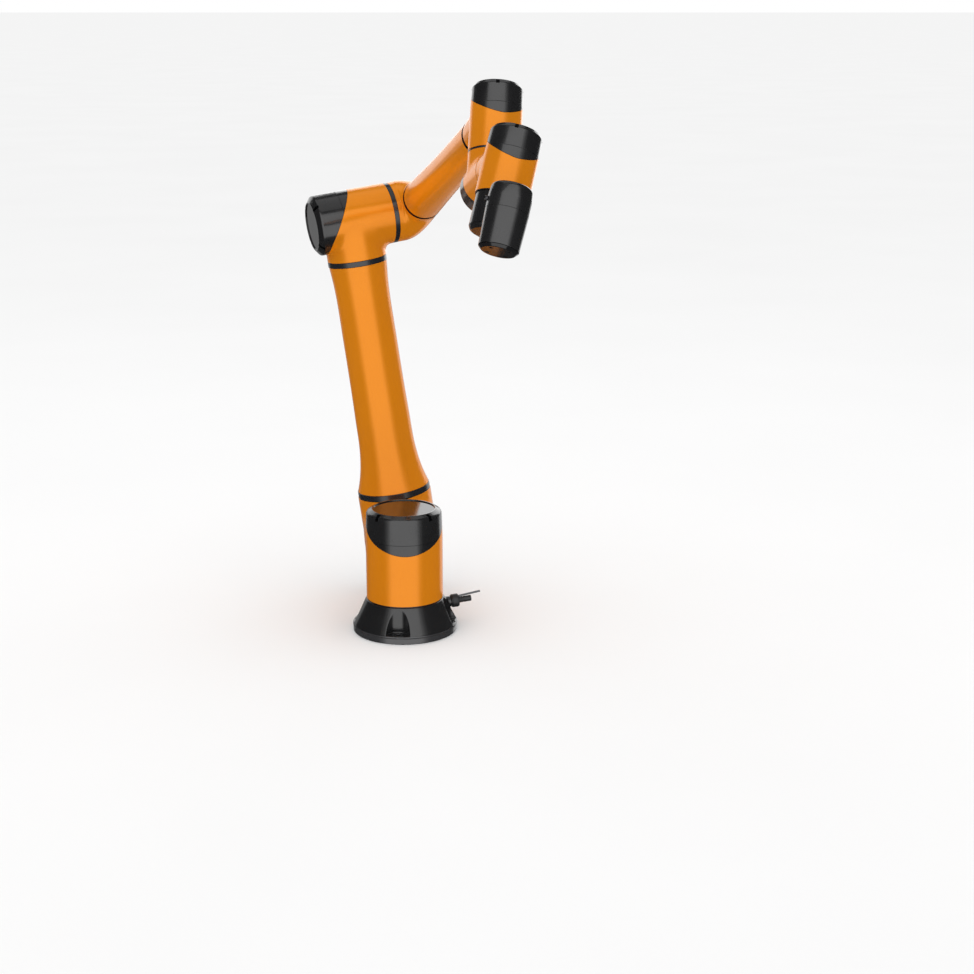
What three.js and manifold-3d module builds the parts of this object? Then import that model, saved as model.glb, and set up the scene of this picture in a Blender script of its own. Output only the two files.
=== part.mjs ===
// Collaborative robot arm: six revolute joints, T-shaped joint modules, two arm
// tubes and a black end head. Millimetres, +Z up, origin at the centre of the
// underside of the base flange.
import * as THREE from 'three';
import { mergeVertices } from 'three/addons/utils/BufferGeometryUtils.js';
import Module from 'manifold-3d';

const wasm = await Module();
wasm.setup();

// ---------------------------------------------------------------- dimensions
const GAP = 0.3;                       // clearance between neighbouring solids

// base
const BASE_R = 102, BASE_FLANGE_T = 15, BASE_TOP_R = 76, BASE_TOP_Z = 64.7;
const BASE_BORE_R = 62, BASE_TOP_PLATE_T = 12, BASE_CABLE_R = 30;
const POCKET_R = 23.7, POCKET_CENTRE = 100.3, POCKET_ANGLE = -5.8;
const BOLT_CIRCLE_R = 90, BOLT_HOLE_R = 6.5, BOLT_R = 6, BOLT_HEAD_R = 8.5, BOLT_HEAD_H = 8, BOLT_SEAT = 6.5;
const PLUG_TURN = 14, PLUG_TILT = 5, PLUG_Z = 39;

// joint module sizes: run radius, wall, output half length, cap half length
const BIG = { R: 75, wall: 6, hOut: 81.5, shoulder: 91.5, rShoulder: 73.2, hCap: 97.5, rCap: 62.4, rRecess: 60, recess: 2, n: 24, capOffset: 20, climb: 85, bend: 1.9, seam: 41.5 };
const MID = { R: 59.5, wall: 5, hOut: 74, shoulder: 72, rShoulder: 58.6, hCap: 80, rCap: 47.5, rRecess: 45.2, recess: 2, n: 24, capOffset: 0, climb: 66.6, bend: 1.7, seam: 25 };
const WRIST = { R: 44, wall: 4, hOut: 57, shoulder: 51.5, rShoulder: 43, hCap: 57.5, rCap: 38.6, rRecess: 36.8, recess: 1.5, n: 20, capOffset: 0, climb: 49.3, bend: 1.7, seam: 18.5 };

// arm layout
const SHOULDER_HEIGHT = 148, SHOULDER_OFFSET = 201;
const UPPER_ARM_LENGTH = 638.5, ELBOW_OFFSET = 132.6, FOREARM_LENGTH = 599;
const WRIST_1_DROP = 107.7, WRIST_2_REACH = 104.2, HEAD_DROP = 88, HEAD_REACH = 85;

// directions at rest (each one is made square to the one before it)
const SHOULDER_AXIS = [-0.0886, 0.9961, 0];
const UPPER_ARM_DIR = [-0.1385, -0.0138, 0.9903];
const ELBOW_AXIS = [0.9355, 0.3270, 0.1350];
const FOREARM_DIR = [0.2650, -0.9007, 0.3446];
const WRIST_1_AXIS = [0.0540, 0.3710, 0.9270];
const WRIST_2_AXIS = [0.2570, -0.9020, 0.3460];
const WRIST_3_AXIS = [0.2210, 0.4030, 0.8880];
const HEAD_TURN = -2.4;

// seals between the turning faces, along each joint axis
const SEAL = { j1: 1.2, j2: 3, j3: 8.7, j4: 3, j5: 0.9, j6: 0.9 };
const FLANGE_DEPTH = 3.5;              // output flange reach into the next part

// arm tubes
const LOWER_RING = [77.5, 89.5, 73.7], UPPER_RING = [76, 86, 58.7];
const TUBE_WALL = 4;

// ------------------------------------------------------------------- helpers
const RAD = Math.PI / 180;
const V = (a) => new THREE.Vector3(a[0], a[1], a[2]);

function clean(geometry) {
  const g = geometry.clone();
  g.deleteAttribute('normal');
  g.deleteAttribute('uv');
  const m = mergeVertices(g, 1e-4);
  const src = m.index.array, keep = [];
  for (let i = 0; i < src.length; i += 3) {
    const a = src[i], b = src[i + 1], c = src[i + 2];
    if (a !== b && b !== c && a !== c) keep.push(a, b, c);
  }
  m.setIndex(keep);
  return m;
}
function solid(geometry) {
  const g = clean(geometry);
  return new wasm.Manifold(new wasm.Mesh({
    numProp: 3,
    vertProperties: new Float32Array(g.attributes.position.array),
    triVerts: new Uint32Array(g.index.array),
  }));
}
function geometryOf(manifold) {
  const m = manifold.getMesh();
  const g = new THREE.BufferGeometry();
  const pos = new Float32Array(m.numVert * 3);
  for (let i = 0; i < m.numVert; i++) {
    for (let k = 0; k < 3; k++) pos[3 * i + k] = m.vertProperties[i * m.numProp + k];
  }
  g.setAttribute('position', new THREE.BufferAttribute(pos, 3));
  g.setIndex(Array.from(m.triVerts));
  return g;
}
// cylinder or cone along +Z, radius r0 at z0 and r1 at z1
function cylZ(r0, r1, z0, z1, n) {
  return new THREE.CylinderGeometry(r1, r0, z1 - z0, n, 1).rotateX(Math.PI / 2).translate(0, 0, (z0 + z1) / 2);
}
// cylinder or cone along +X, radius r0 at x0 and r1 at x1
function cylX(r0, r1, x0, x1, n) {
  return new THREE.CylinderGeometry(r1, r0, x1 - x0, n, 1).rotateZ(-Math.PI / 2).translate((x0 + x1) / 2, 0, 0);
}
// solid of revolution about Z from a closed [r, z] outline, anticlockwise
function turn(outline, n) {
  const pts = outline.map(([r, z]) => new THREE.Vector2(r, z));
  pts.push(pts[0].clone());
  return clean(new THREE.LatheGeometry(pts, n).rotateX(Math.PI / 2));
}
// solid through a list of closed rings of points, ends capped flat
function loft(rings) {
  const n = rings[0].length, pos = [], idx = [];
  for (const ring of rings) for (const p of ring) pos.push(p.x, p.y, p.z);
  for (let s = 0; s + 1 < rings.length; s++) {
    for (let i = 0; i < n; i++) {
      const a = s * n + i, b = s * n + (i + 1) % n, c = a + n, d = b + n;
      idx.push(a, b, d, a, d, c);
    }
  }
  const ends = [[0, true], [rings.length - 1, false]];
  for (const [s, first] of ends) {
    const c = new THREE.Vector3();
    for (const p of rings[s]) c.add(p);
    c.divideScalar(n);
    const k = pos.length / 3;
    pos.push(c.x, c.y, c.z);
    for (let i = 0; i < n; i++) {
      const a = s * n + i, b = s * n + (i + 1) % n;
      if (first) idx.push(k, b, a); else idx.push(k, a, b);
    }
  }
  const g = new THREE.BufferGeometry();
  g.setAttribute('position', new THREE.Float32BufferAttribute(pos, 3));
  g.setIndex(idx);
  return g;
}

const arm = new THREE.Group();
arm.name = 'cobot_arm';

const paint = () => new THREE.MeshStandardMaterial({ color: 0xe0851c, roughness: 0.28, metalness: 0 });
const black = () => new THREE.MeshStandardMaterial({ color: 0x1b1b1c, roughness: 0.3, metalness: 0 });
const band = () => new THREE.MeshStandardMaterial({ color: 0x20262c, roughness: 0.35, metalness: 0 });
const metal = () => new THREE.MeshStandardMaterial({ color: 0x9a9c9e, roughness: 0.35, metalness: 1 });
const board = () => new THREE.MeshStandardMaterial({ color: 0x1c5a34, roughness: 0.6, metalness: 0 });
const steel = () => new THREE.MeshStandardMaterial({ color: 0x5a5c5e, roughness: 0.35, metalness: 1 });

function add(parent, name, shape, material) {
  const g = shape.isBufferGeometry ? clean(shape) : geometryOf(shape);
  g.computeVertexNormals();
  const mesh = new THREE.Mesh(g, material);
  mesh.name = name;
  parent.add(mesh);
  return mesh;
}
// group whose +Z is zDir and whose +X leans towards xDir
function frame(origin, zDir, xDir) {
  const z = zDir.clone().normalize();
  const x = xDir.clone().addScaledVector(z, -xDir.dot(z)).normalize();
  const y = new THREE.Vector3().crossVectors(z, x);
  const g = new THREE.Group();
  g.quaternion.setFromRotationMatrix(new THREE.Matrix4().makeBasis(x, y, z));
  g.position.copy(origin);
  arm.add(g);
  return g;
}
const square = (v, to) => v.clone().addScaledVector(to, -v.dot(to)).normalize();

// ------------------------------------------------------------ joint module
// Run along Z (cap at +Z, output at -Z), branch along +X.
// The black cover meets the painted housing on a line that is deepest
// opposite the branch and climbs towards it.
function partingHeight(m, phi) {
  const h = m.capOffset + m.climb * Math.pow(Math.abs(Math.cos(phi / 2)), m.bend);
  const top = 1.05 * m.R, k = 0.2 * m.R, d = Math.max(0, k - Math.abs(h - top));
  return Math.min(h, top) - d * d / (4 * k);
}
const coverSeam = (m) => m.seam;

// ring-shaped block over or under the parting line
function partingBlock(m, above, shift) {
  const n = m.n, ri = m.R - m.wall - 3, ro = m.R * 1.3, far = above ? 2 * m.R : -2 * m.R;
  const pos = [], idx = [];
  for (let i = 0; i < n; i++) {
    const phi = (i / n) * 2 * Math.PI, c = Math.cos(phi), s = Math.sin(phi);
    const w = partingHeight(m, phi) + shift;
    const lo = above ? w : far, hi = above ? far : w;
    pos.push(ri * c, ri * s, lo, ro * c, ro * s, lo, ro * c, ro * s, hi, ri * c, ri * s, hi);
  }
  for (let i = 0; i < n; i++) {
    const a = 4 * i, b = 4 * ((i + 1) % n);
    for (let k = 0; k < 4; k++) {
      const k2 = (k + 1) % 4;
      // one diagonal for the parting face, whichever side of the block it is on
      if (k === 2) idx.push(a + k, b + k, a + k2, b + k, b + k2, a + k2);
      else idx.push(a + k, b + k, b + k2, a + k, b + k2, a + k2);
    }
  }
  const g = new THREE.BufferGeometry();
  g.setAttribute('position', new THREE.Float32BufferAttribute(pos, 3));
  g.setIndex(idx);
  let s = solid(g);
  return s;
}
function moduleHousing(m, branchLen, rRoot, rEnd) {
  const top = 1.05 * m.R + 2, ri = m.R - m.wall, rb = rEnd - m.wall;
  let h = solid(cylZ(m.R, m.R, -m.hOut, top, m.n)).add(solid(cylX(rRoot, rEnd, 0, branchLen, m.n)));
  h = h.subtract(solid(cylZ(ri, ri, -m.hOut - 5, top + 5, m.n)));
  h = h.subtract(solid(cylX(rb, rb, 0, branchLen + 5, m.n)));
  return h.subtract(partingBlock(m, true, -GAP / 2));
}
function moduleCollar(m) {
  const ri = m.R - 3.2;
  const c = solid(turn([[ri, -m.R], [m.R, -m.R], [m.R, coverSeam(m) - GAP / 2], [ri, coverSeam(m) - GAP / 2]], m.n));
  return c.subtract(partingBlock(m, false, GAP / 2));
}
function moduleCap(m) {
  const z0 = coverSeam(m) + GAP / 2, w = 3, floor = m.hCap - m.recess;
  const c = solid(turn([
    [m.R - w, z0], [m.R, z0], [m.rShoulder, m.shoulder], [m.rCap, m.hCap], [m.rRecess, m.hCap],
    [m.rRecess, floor], [0, floor], [0, floor - w], [m.rRecess - 3, floor - w],
  ], m.n));
  return c.subtract(partingBlock(m, false, GAP / 2));
}
function driveTop(m) { return -m.hOut + 7 + m.R * 1.42; }
function moduleDrive(m) {
  const rb = 0.14 * m.R, rg = m.R - m.wall - 0.8, z0 = -m.hOut + 7;
  const zg = z0 + 0.5 * m.R, zm = zg + 0.62 * m.R, z1 = driveTop(m);
  return turn([[rb, z0], [rg, z0], [rg, zg], [0.76 * m.R, zg], [0.76 * m.R, zm], [0.5 * m.R, zm], [0.5 * m.R, z1], [rb, z1]], 12);
}
function moduleBoard(m) {
  const z = driveTop(m) + GAP;
  return turn([[0.16 * m.R, z], [0.6 * m.R, z], [0.6 * m.R, z + 2], [0.16 * m.R, z + 2]], 10);
}
function outputFlange(m, seal, r = m.R - m.wall - 1.6) {
  const z1 = -m.hOut + 6.6, z0 = -m.hOut - 2 * GAP - seal - FLANGE_DEPTH;
  return turn([[0.22 * m.R, z0], [r, z0], [r, z1], [0.22 * m.R, z1]], 16);
}
function sealRing(m, seal, proud = -0.5) {
  const z1 = -m.hOut - GAP;
  return turn([[m.R - m.wall, z1 - seal], [m.R + proud, z1 - seal], [m.R + proud, z1], [m.R - m.wall, z1]], m.n);
}

// --------------------------------------------------------------- arm layout
const Z = V([0, 0, 1]);
const a2 = V(SHOULDER_AXIS).normalize();
const u = square(V(UPPER_ARM_DIR), a2);
const a3 = square(V(ELBOW_AXIS), u);
const v = square(V(FOREARM_DIR), a3);
const a4 = square(V(WRIST_1_AXIS), v);
const a5 = square(V(WRIST_2_AXIS), a4);
const a6 = square(V(WRIST_3_AXIS), a5);
const a7 = a5.clone().applyAxisAngle(a6, HEAD_TURN * RAD);

const P1 = V([0, 0, SHOULDER_HEIGHT]);
const P2 = P1.clone().addScaledVector(a2, SHOULDER_OFFSET);
const P3 = P2.clone().addScaledVector(u, UPPER_ARM_LENGTH);
const E = P3.clone().addScaledVector(a3, ELBOW_OFFSET);
const P4 = E.clone().addScaledVector(v, FOREARM_LENGTH);
const P5 = P4.clone().addScaledVector(a4, -WRIST_1_DROP);
const P6 = P5.clone().addScaledVector(a5, WRIST_2_REACH);
const P7 = P6.clone().addScaledVector(a6, -HEAD_DROP);
const P8 = P7.clone().addScaledVector(a7, HEAD_REACH);

const F1 = frame(P1, Z, a2);
const F2 = frame(P2, a2, u);
const F3 = frame(P3, a3.clone().negate(), u.clone().negate());
const F4 = frame(P4, a4, v.clone().negate());
const F5 = frame(P5, a5.clone().negate(), a4);
const F6 = frame(P6, a6, a5.clone().negate());
const F7 = frame(P7, a6, a7);
const F8 = frame(P8, a6, a7);

// --------------------------------------------------------------------- base
{
  let b = solid(cylZ(BASE_R, BASE_R, 0, BASE_FLANGE_T, 36))
    .add(solid(cylZ(BASE_R - 0.5, BASE_TOP_R, BASE_FLANGE_T - 0.5, BASE_TOP_Z, 36)));
  // boss for the connector on the side of the cone
  const boss = cylX(13, 10, 60, 93, 16).rotateY(-PLUG_TILT * RAD).rotateZ(PLUG_TURN * RAD).translate(0, 0, PLUG_Z);
  b = b.add(solid(boss));
  b = b.subtract(solid(cylZ(BASE_BORE_R, BASE_BORE_R, -5, BASE_TOP_Z - BASE_TOP_PLATE_T, 20)));
  b = b.subtract(solid(cylZ(BASE_CABLE_R, BASE_CABLE_R, 20, BASE_TOP_Z + 5, 16)));
  for (let k = 0; k < 4; k++) {
    const ang = (-90 + POCKET_ANGLE + 90 * k) * RAD;
    const px = Math.cos(ang), py = Math.sin(ang);
    b = b.subtract(solid(cylZ(POCKET_R, POCKET_R, BASE_FLANGE_T, BASE_TOP_Z + 5, 20).translate(POCKET_CENTRE * px, POCKET_CENTRE * py, 0)));
    b = b.subtract(solid(cylZ(BOLT_HOLE_R, BOLT_HOLE_R, -5, BASE_FLANGE_T + 5, 8).translate(BOLT_CIRCLE_R * px, BOLT_CIRCLE_R * py, 0)));
    b = b.subtract(solid(cylZ(BOLT_HEAD_R + 1, BOLT_HEAD_R + 1, BOLT_SEAT, BASE_FLANGE_T + 5, 12).translate(BOLT_CIRCLE_R * px, BOLT_CIRCLE_R * py, 0)));
    // socket head cap screw, sunk in the flange
    const zh = BOLT_SEAT + GAP;
    const screw = turn([[0, 1], [BOLT_R, 1], [BOLT_R, zh], [BOLT_HEAD_R, zh], [BOLT_HEAD_R, zh + BOLT_HEAD_H], [4.4, zh + BOLT_HEAD_H], [4.4, zh + 4], [0, zh + 4]], 8)
      .translate(BOLT_CIRCLE_R * px, BOLT_CIRCLE_R * py, 0);
    add(arm, `base_bolt_${k + 1}`, screw, steel());
  }
  add(arm, 'base_casting', b, black());

  // side connector: coupling nut with barrel, and its locking lever
  const c = new THREE.Group();
  c.rotation.set(0, -PLUG_TILT * RAD, PLUG_TURN * RAD, 'ZYX');
  c.position.set(0, 0, PLUG_Z);
  arm.add(c);
  const body = turn([[0, 93.3], [12, 93.3], [13.2, 95], [13.2, 106.5], [12, 108.3], [6, 108.3], [6, 133], [5.2, 134], [3.6, 134], [3.6, 127], [0, 127]], 12)
    .rotateY(Math.PI / 2);
  add(c, 'connector_body', body, black());
  const lever = new THREE.BoxGeometry(45, 3.6, 3.6).translate(22.5, 0, 0).rotateY(-4 * RAD).translate(108.8, 0, 8.2);
  add(c, 'connector_lever', lever, black());
}

// ---------------------------------------------------------- joints 1 and 2
add(F1, 'shoulder_housing', moduleHousing(BIG, SHOULDER_OFFSET - BIG.hOut - 2 * GAP - SEAL.j2, 74.5, 74.5), paint());
add(F1, 'shoulder_collar', moduleCollar(BIG), black());
add(F1, 'shoulder_cap', moduleCap(BIG), black());
add(F1, 'j1_drive_unit', moduleDrive(BIG), metal());
add(F1, 'j1_driver_board', moduleBoard(BIG), board());
add(F1, 'j1_seal_ring', sealRing(BIG, SEAL.j1, -1), band());
add(F1, 'j1_output_flange', turn([[20, -81.5 - 1.4], [66.5, -81.5 - 1.4], [66.5, -75], [20, -75]], 16), metal());

add(F2, 'upper_arm_lower_housing', moduleHousing(BIG, LOWER_RING[0] - GAP, 74.6, 74.6), paint());
add(F2, 'upper_arm_lower_collar', moduleCollar(BIG), black());
add(F2, 'upper_arm_lower_cap', moduleCap(BIG), black());
add(F2, 'j2_drive_unit', moduleDrive(BIG), metal());
add(F2, 'j2_driver_board', moduleBoard(BIG), board());
add(F2, 'j2_seal_ring', sealRing(BIG, SEAL.j2), band());
add(F2, 'j2_output_flange', outputFlange(BIG, SEAL.j2), metal());

// ------------------------------------------------------------ upper arm tube
const U = frame(P2, u, a3);
add(U, 'upper_arm_lower_ring', turn([[68.5, LOWER_RING[0]], [LOWER_RING[2], LOWER_RING[0]], [LOWER_RING[2], LOWER_RING[1]], [68.5, LOWER_RING[1]]], 24), band());
{
  const L = UPPER_ARM_LENGTH, z0 = LOWER_RING[1] + GAP, z1 = L - UPPER_RING[1] - GAP;
  const outer = [[72.8, z0], [67.2, 108], [61.4, 134], [57.2, 166], [55, 240], [53.5, 400], [54.8, 520], [57.6, z1]];
  const inner = [[57.6 - TUBE_WALL, z1], [49.5, 400], [53.2 - TUBE_WALL, 166], [72.8 - TUBE_WALL, z0]];
  add(U, 'upper_arm_tube', turn([...outer, ...inner], 24), paint());
  add(U, 'upper_arm_upper_ring', turn([[53.6, L - UPPER_RING[1]], [UPPER_RING[2], L - UPPER_RING[1]], [UPPER_RING[2], L - UPPER_RING[0]], [53.6, L - UPPER_RING[0]]], 24), band());
}

// ------------------------------------------------------------------- elbow
add(F3, 'elbow_housing', moduleHousing(MID, UPPER_RING[0] - GAP, 58.5, 58.5), paint());
add(F3, 'elbow_collar', moduleCollar(MID), black());
add(F3, 'elbow_cap', moduleCap(MID), black());
add(F3, 'j3_drive_unit', moduleDrive(MID), metal());
add(F3, 'j3_driver_board', moduleBoard(MID), board());
add(F3, 'j3_seal_ring', sealRing(MID, SEAL.j3, -0.3), band());
add(F3, 'j3_output_flange', outputFlange(MID, SEAL.j3), metal());

// forearm casting: a hollow bend from the joint 3 axis to the forearm axis,
// in the plane of a3 (x) and v (y)
const FOREARM_START = 72, BEND_START = MID.hOut + 2 * GAP + SEAL.j3;
{
  const n = 20, steps = 7;
  const ring = (px, py, qx, qy) => {            // circle with diameter p-q
    const cx = (px + qx) / 2, cy = (py + qy) / 2, dx = (qx - px) / 2, dy = (qy - py) / 2, r = Math.hypot(dx, dy);
    const out = [];
    for (let i = 0; i < n; i++) {
      const t = (i / n) * 2 * Math.PI;
      out.push(P3.clone().addScaledVector(a3, cx + dx * Math.cos(t)).addScaledVector(v, cy + dy * Math.cos(t))
        .addScaledVector(new THREE.Vector3().crossVectors(a3, v), r * Math.sin(t)));
    }
    return out;
  };
  const bend = (w, ext) => {
    const rings = [], r0 = 59 - w, r1 = 40 - w, x0 = BEND_START, x1 = 92;
    if (ext) rings.push(ring(x0 - 5, -r0, x0 - 5, r0)); else rings.push(ring(x0, -r0, x0, r0));
    for (let k = 0; k < steps; k++) {
      const t = (k / (steps - 1)) * Math.PI / 2, e = 0.86;
      const s = Math.pow(Math.sin(t), e), c = Math.pow(Math.cos(t), e);
      // outer line, far from the forearm tube, and inner line, next to it
      const ox = x1 + (ELBOW_OFFSET + r1 - x1) * s, oy = 62 - (62 + r0) * c;
      const ix = x1 + (ELBOW_OFFSET - r1 - x1) * (1 - Math.cos(t)), iy = r0 + (62 - r0) * Math.sin(t);
      rings.push(ring(ox, oy, ix, iy));
    }
    const y1 = ext ? FOREARM_START + 5 : FOREARM_START;
    rings.push(ring(ELBOW_OFFSET + r1, y1, ELBOW_OFFSET - r1, y1));
    return rings;
  };
  const outer = solid(loft(bend(0, false))), inner = solid(loft(bend(4.5, true)));
  add(arm, 'forearm_elbow_casting', outer.subtract(inner), paint());
}

// ------------------------------------------------------------- forearm tube
const FT = frame(E, v, a3);
const WRIST_BRANCH = 90;
{
  const z0 = FOREARM_START + GAP, z1 = FOREARM_LENGTH - WRIST_BRANCH - GAP;
  const outer = [[39.9, z0], [37.4, 165], [35.2, 260], [34.2, 400], [34.2, z1]];
  const inner = [[30.7, z1], [30.7, 400], [36.2, z0]];
  add(FT, 'forearm_tube', turn([...outer, ...inner], 20), paint());
}

// ------------------------------------------------------------------- wrist
add(F4, 'wrist_1_housing', moduleHousing(WRIST, WRIST_BRANCH, 39, 34.2), paint());
add(F4, 'wrist_1_collar', moduleCollar(WRIST), black());
add(F4, 'wrist_1_cap', moduleCap(WRIST), black());
add(F4, 'j4_drive_unit', moduleDrive(WRIST), metal());
add(F4, 'j4_driver_board', moduleBoard(WRIST), board());
add(F4, 'j4_seal_ring', sealRing(WRIST, SEAL.j4), band());
add(F4, 'j4_output_flange', outputFlange(WRIST, SEAL.j4), metal());

add(F5, 'wrist_2_housing', moduleHousing(WRIST, WRIST_1_DROP - WRIST.hOut - 2 * GAP - SEAL.j4, 43.6, 43.6), paint());
add(F5, 'wrist_2_collar', moduleCollar(WRIST), black());
add(F5, 'wrist_2_cap', moduleCap(WRIST), black());
add(F5, 'j5_drive_unit', moduleDrive(WRIST), metal());
add(F5, 'j5_driver_board', moduleBoard(WRIST), board());
add(F5, 'j5_seal_ring', sealRing(WRIST, SEAL.j5), band());
add(F5, 'j5_output_flange', outputFlange(WRIST, SEAL.j5), metal());

add(F6, 'wrist_3_housing', moduleHousing(WRIST, WRIST_2_REACH - WRIST.hOut - 2 * GAP - SEAL.j5, 43.6, 43.6), paint());
add(F6, 'wrist_3_collar', moduleCollar(WRIST), black());
add(F6, 'wrist_3_cap', moduleCap(WRIST), black());
add(F6, 'j6_drive_unit', moduleDrive(WRIST), metal());
add(F6, 'j6_driver_board', moduleBoard(WRIST), board());
add(F6, 'j6_seal_ring', sealRing(WRIST, SEAL.j6), band());
add(F6, 'j6_output_flange', outputFlange(WRIST, SEAL.j6, 37), metal());

// ---------------------------------------------------------------- end head
// bracket below the last joint, with an arm towards the head
const BRACKET_TOP = HEAD_DROP - WRIST.hOut - 2 * GAP - SEAL.j6;
{
  let k = solid(cylZ(41.5, 41.5, -24.5, BRACKET_TOP, 20)).add(solid(cylX(18, 18, 0, 46, 16)));
  k = k.subtract(solid(cylZ(38, 38, -30, BRACKET_TOP + 5, 20))).subtract(solid(cylX(15, 15, 0, 50, 16)));
  add(F7, 'head_bracket', k, black());
  let cover = solid(turn([[0, -31.5], [34.5, -31.5], [38.6, -29.8], [41.3, -24.5 - GAP], [36.5, -24.5 - GAP], [33, -28.5], [0, -28.5]], 20));
  add(F7, 'head_bracket_cover', cover, black());
}
// head: upper shell with rounded shoulder, tapered lower shell, tool plate
const HEAD_SEAM = -17, HEAD_END = -77;
{
  const stub = (r, x) => cylX(r, r, -(HEAD_REACH - 46 - GAP), x, 16);
  let up = solid(turn([[0, HEAD_SEAM + GAP / 2], [35, HEAD_SEAM + GAP / 2], [35, 17], [34.2, 21], [31.6, 25], [26, 27.2], [0, 27.2]], 20)).add(solid(stub(18, 0)));
  up = up.subtract(solid(turn([[0, HEAD_SEAM - 40], [32, HEAD_SEAM - 40], [32, 17], [28, 23.5], [0, 23.5]], 20)));
  up = up.subtract(solid(stub(15, 0).translate(-2, 0, 0)));
  up = up.subtract(solid(new THREE.BoxGeometry(58, 80, 40).translate(0, 0, HEAD_SEAM + GAP / 2 - 20)));
  add(F8, 'head_upper_shell', up, black());
  let low = solid(turn([[29.8, HEAD_END], [32.7, HEAD_END], [35, HEAD_SEAM - GAP / 2], [32, HEAD_SEAM - GAP / 2]], 20));
  low = low.subtract(solid(stub(18 + GAP, 0)));
  add(F8, 'head_lower_shell', low, black());
  let plate = solid(turn([[0, HEAD_END - 5.2], [27.5, HEAD_END - 5.2], [32.4, HEAD_END - GAP], [29.2, HEAD_END - GAP], [29.2, HEAD_END + 5], [0, HEAD_END + 5]], 20));
  for (let q = 0; q < 4; q++) {
    const t = (45 + 90 * q) * RAD;
    plate = plate.subtract(solid(cylZ(3, 3, HEAD_END - 10, HEAD_END + 2.5, 6).translate(20 * Math.cos(t), 20 * Math.sin(t), 0)));
  }
  add(F8, 'head_tool_plate', plate, metal());
  const socket = turn([[0, 0], [4, 0], [4, 3.6], [2.6, 3.6], [2.6, 1.2], [0, 1.2]], 12).rotateX(Math.PI / 2).translate(0, -35 - GAP, -2.6);
  add(F8, 'tool_io_socket', socket, metal());
}

export default arm;
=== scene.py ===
import math
import bpy
import numpy as np
from mathutils import Matrix, Vector


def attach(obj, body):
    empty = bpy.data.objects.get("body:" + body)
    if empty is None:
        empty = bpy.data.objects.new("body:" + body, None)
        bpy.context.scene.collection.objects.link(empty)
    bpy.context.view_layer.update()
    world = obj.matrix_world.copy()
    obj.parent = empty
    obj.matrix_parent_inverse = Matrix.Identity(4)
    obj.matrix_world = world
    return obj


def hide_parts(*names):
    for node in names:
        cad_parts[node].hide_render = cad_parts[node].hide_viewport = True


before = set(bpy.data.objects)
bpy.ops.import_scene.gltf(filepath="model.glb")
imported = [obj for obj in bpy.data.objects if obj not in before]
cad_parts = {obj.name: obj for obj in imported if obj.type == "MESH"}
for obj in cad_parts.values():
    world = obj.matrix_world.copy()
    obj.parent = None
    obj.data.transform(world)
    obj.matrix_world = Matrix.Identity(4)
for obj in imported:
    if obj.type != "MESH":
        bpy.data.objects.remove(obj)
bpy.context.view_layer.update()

RAD = math.pi / 180
FINE = 1.0          # coarser grids while trying things

# ------------------------------------------------------------------ dimensions (mm), as in the CAD
GAP = 0.3
BASE_R, BASE_FLANGE_T, BASE_TOP_R, BASE_TOP_Z = 102, 15, 76, 64.7
BASE_BORE_R, BASE_TOP_PLATE_T, BASE_CABLE_R = 62, 12, 30
POCKET_R, POCKET_CENTRE, POCKET_ANGLE = 23.7, 100.3, -5.8
BOLT_CIRCLE_R, BOLT_HEAD_R, BOLT_HEAD_H, BOLT_SEAT = 90, 8.5, 8, 6.5
PLUG_TURN, PLUG_TILT, PLUG_Z = 14, 5, 39
BIG = dict(R=75, wall=6, hOut=81.5, shoulder=91.5, rShoulder=73.2, hCap=97.5, rCap=62.4, rRecess=60, recess=2, capOffset=20, climb=85, bend=1.9, seam=41.5, h=2.6, fil=14, notch=41.6)
MID = dict(R=59.5, wall=5, hOut=74, shoulder=72, rShoulder=58.6, hCap=80, rCap=47.5, rRecess=45.2, recess=2, capOffset=0, climb=66.6, bend=1.7, seam=25, h=2.2, fil=13, notch=45)
WRIST = dict(R=44, wall=4, hOut=57, shoulder=51.5, rShoulder=43, hCap=57.5, rCap=38.6, rRecess=36.8, recess=1.5, capOffset=0, climb=49.3, bend=1.7, seam=18.5, h=1.8, fil=9, notch=75)
SHOULDER_HEIGHT, SHOULDER_OFFSET = 148, 201
UPPER_ARM_LENGTH, ELBOW_OFFSET, FOREARM_LENGTH = 638.5, 132.6, 599
WRIST_1_DROP, WRIST_2_REACH, HEAD_DROP, HEAD_REACH = 107.7, 104.2, 88, 85
HEAD_TURN = -2.4
SEAL = dict(j1=1.2, j2=3, j3=8.7, j4=3, j5=0.9, j6=0.9)
LOWER_RING, UPPER_RING = (77.5, 89.5, 73.7), (76, 86, 58.7)
FOREARM_START, WRIST_BRANCH = 72, 90


def unit(v):
    v = np.array(v, float)
    return v / np.linalg.norm(v)


def square(v, to):
    v = np.array(v, float)
    return unit(v - to * v.dot(to))


class Frame:
    """Local frame: +Z along z, +X leaning towards x."""

    def __init__(self, origin, z, x):
        self.o = np.array(origin, float)
        self.z = unit(z)
        self.x = square(x, self.z)
        self.y = np.cross(self.z, self.x)
        self.R = np.array([self.x, self.y, self.z])

    def points(self, p):
        return (self.o + np.asarray(p, float) @ self.R) / 1000

    def vectors(self, p):
        return np.asarray(p, float) @ self.R


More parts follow.
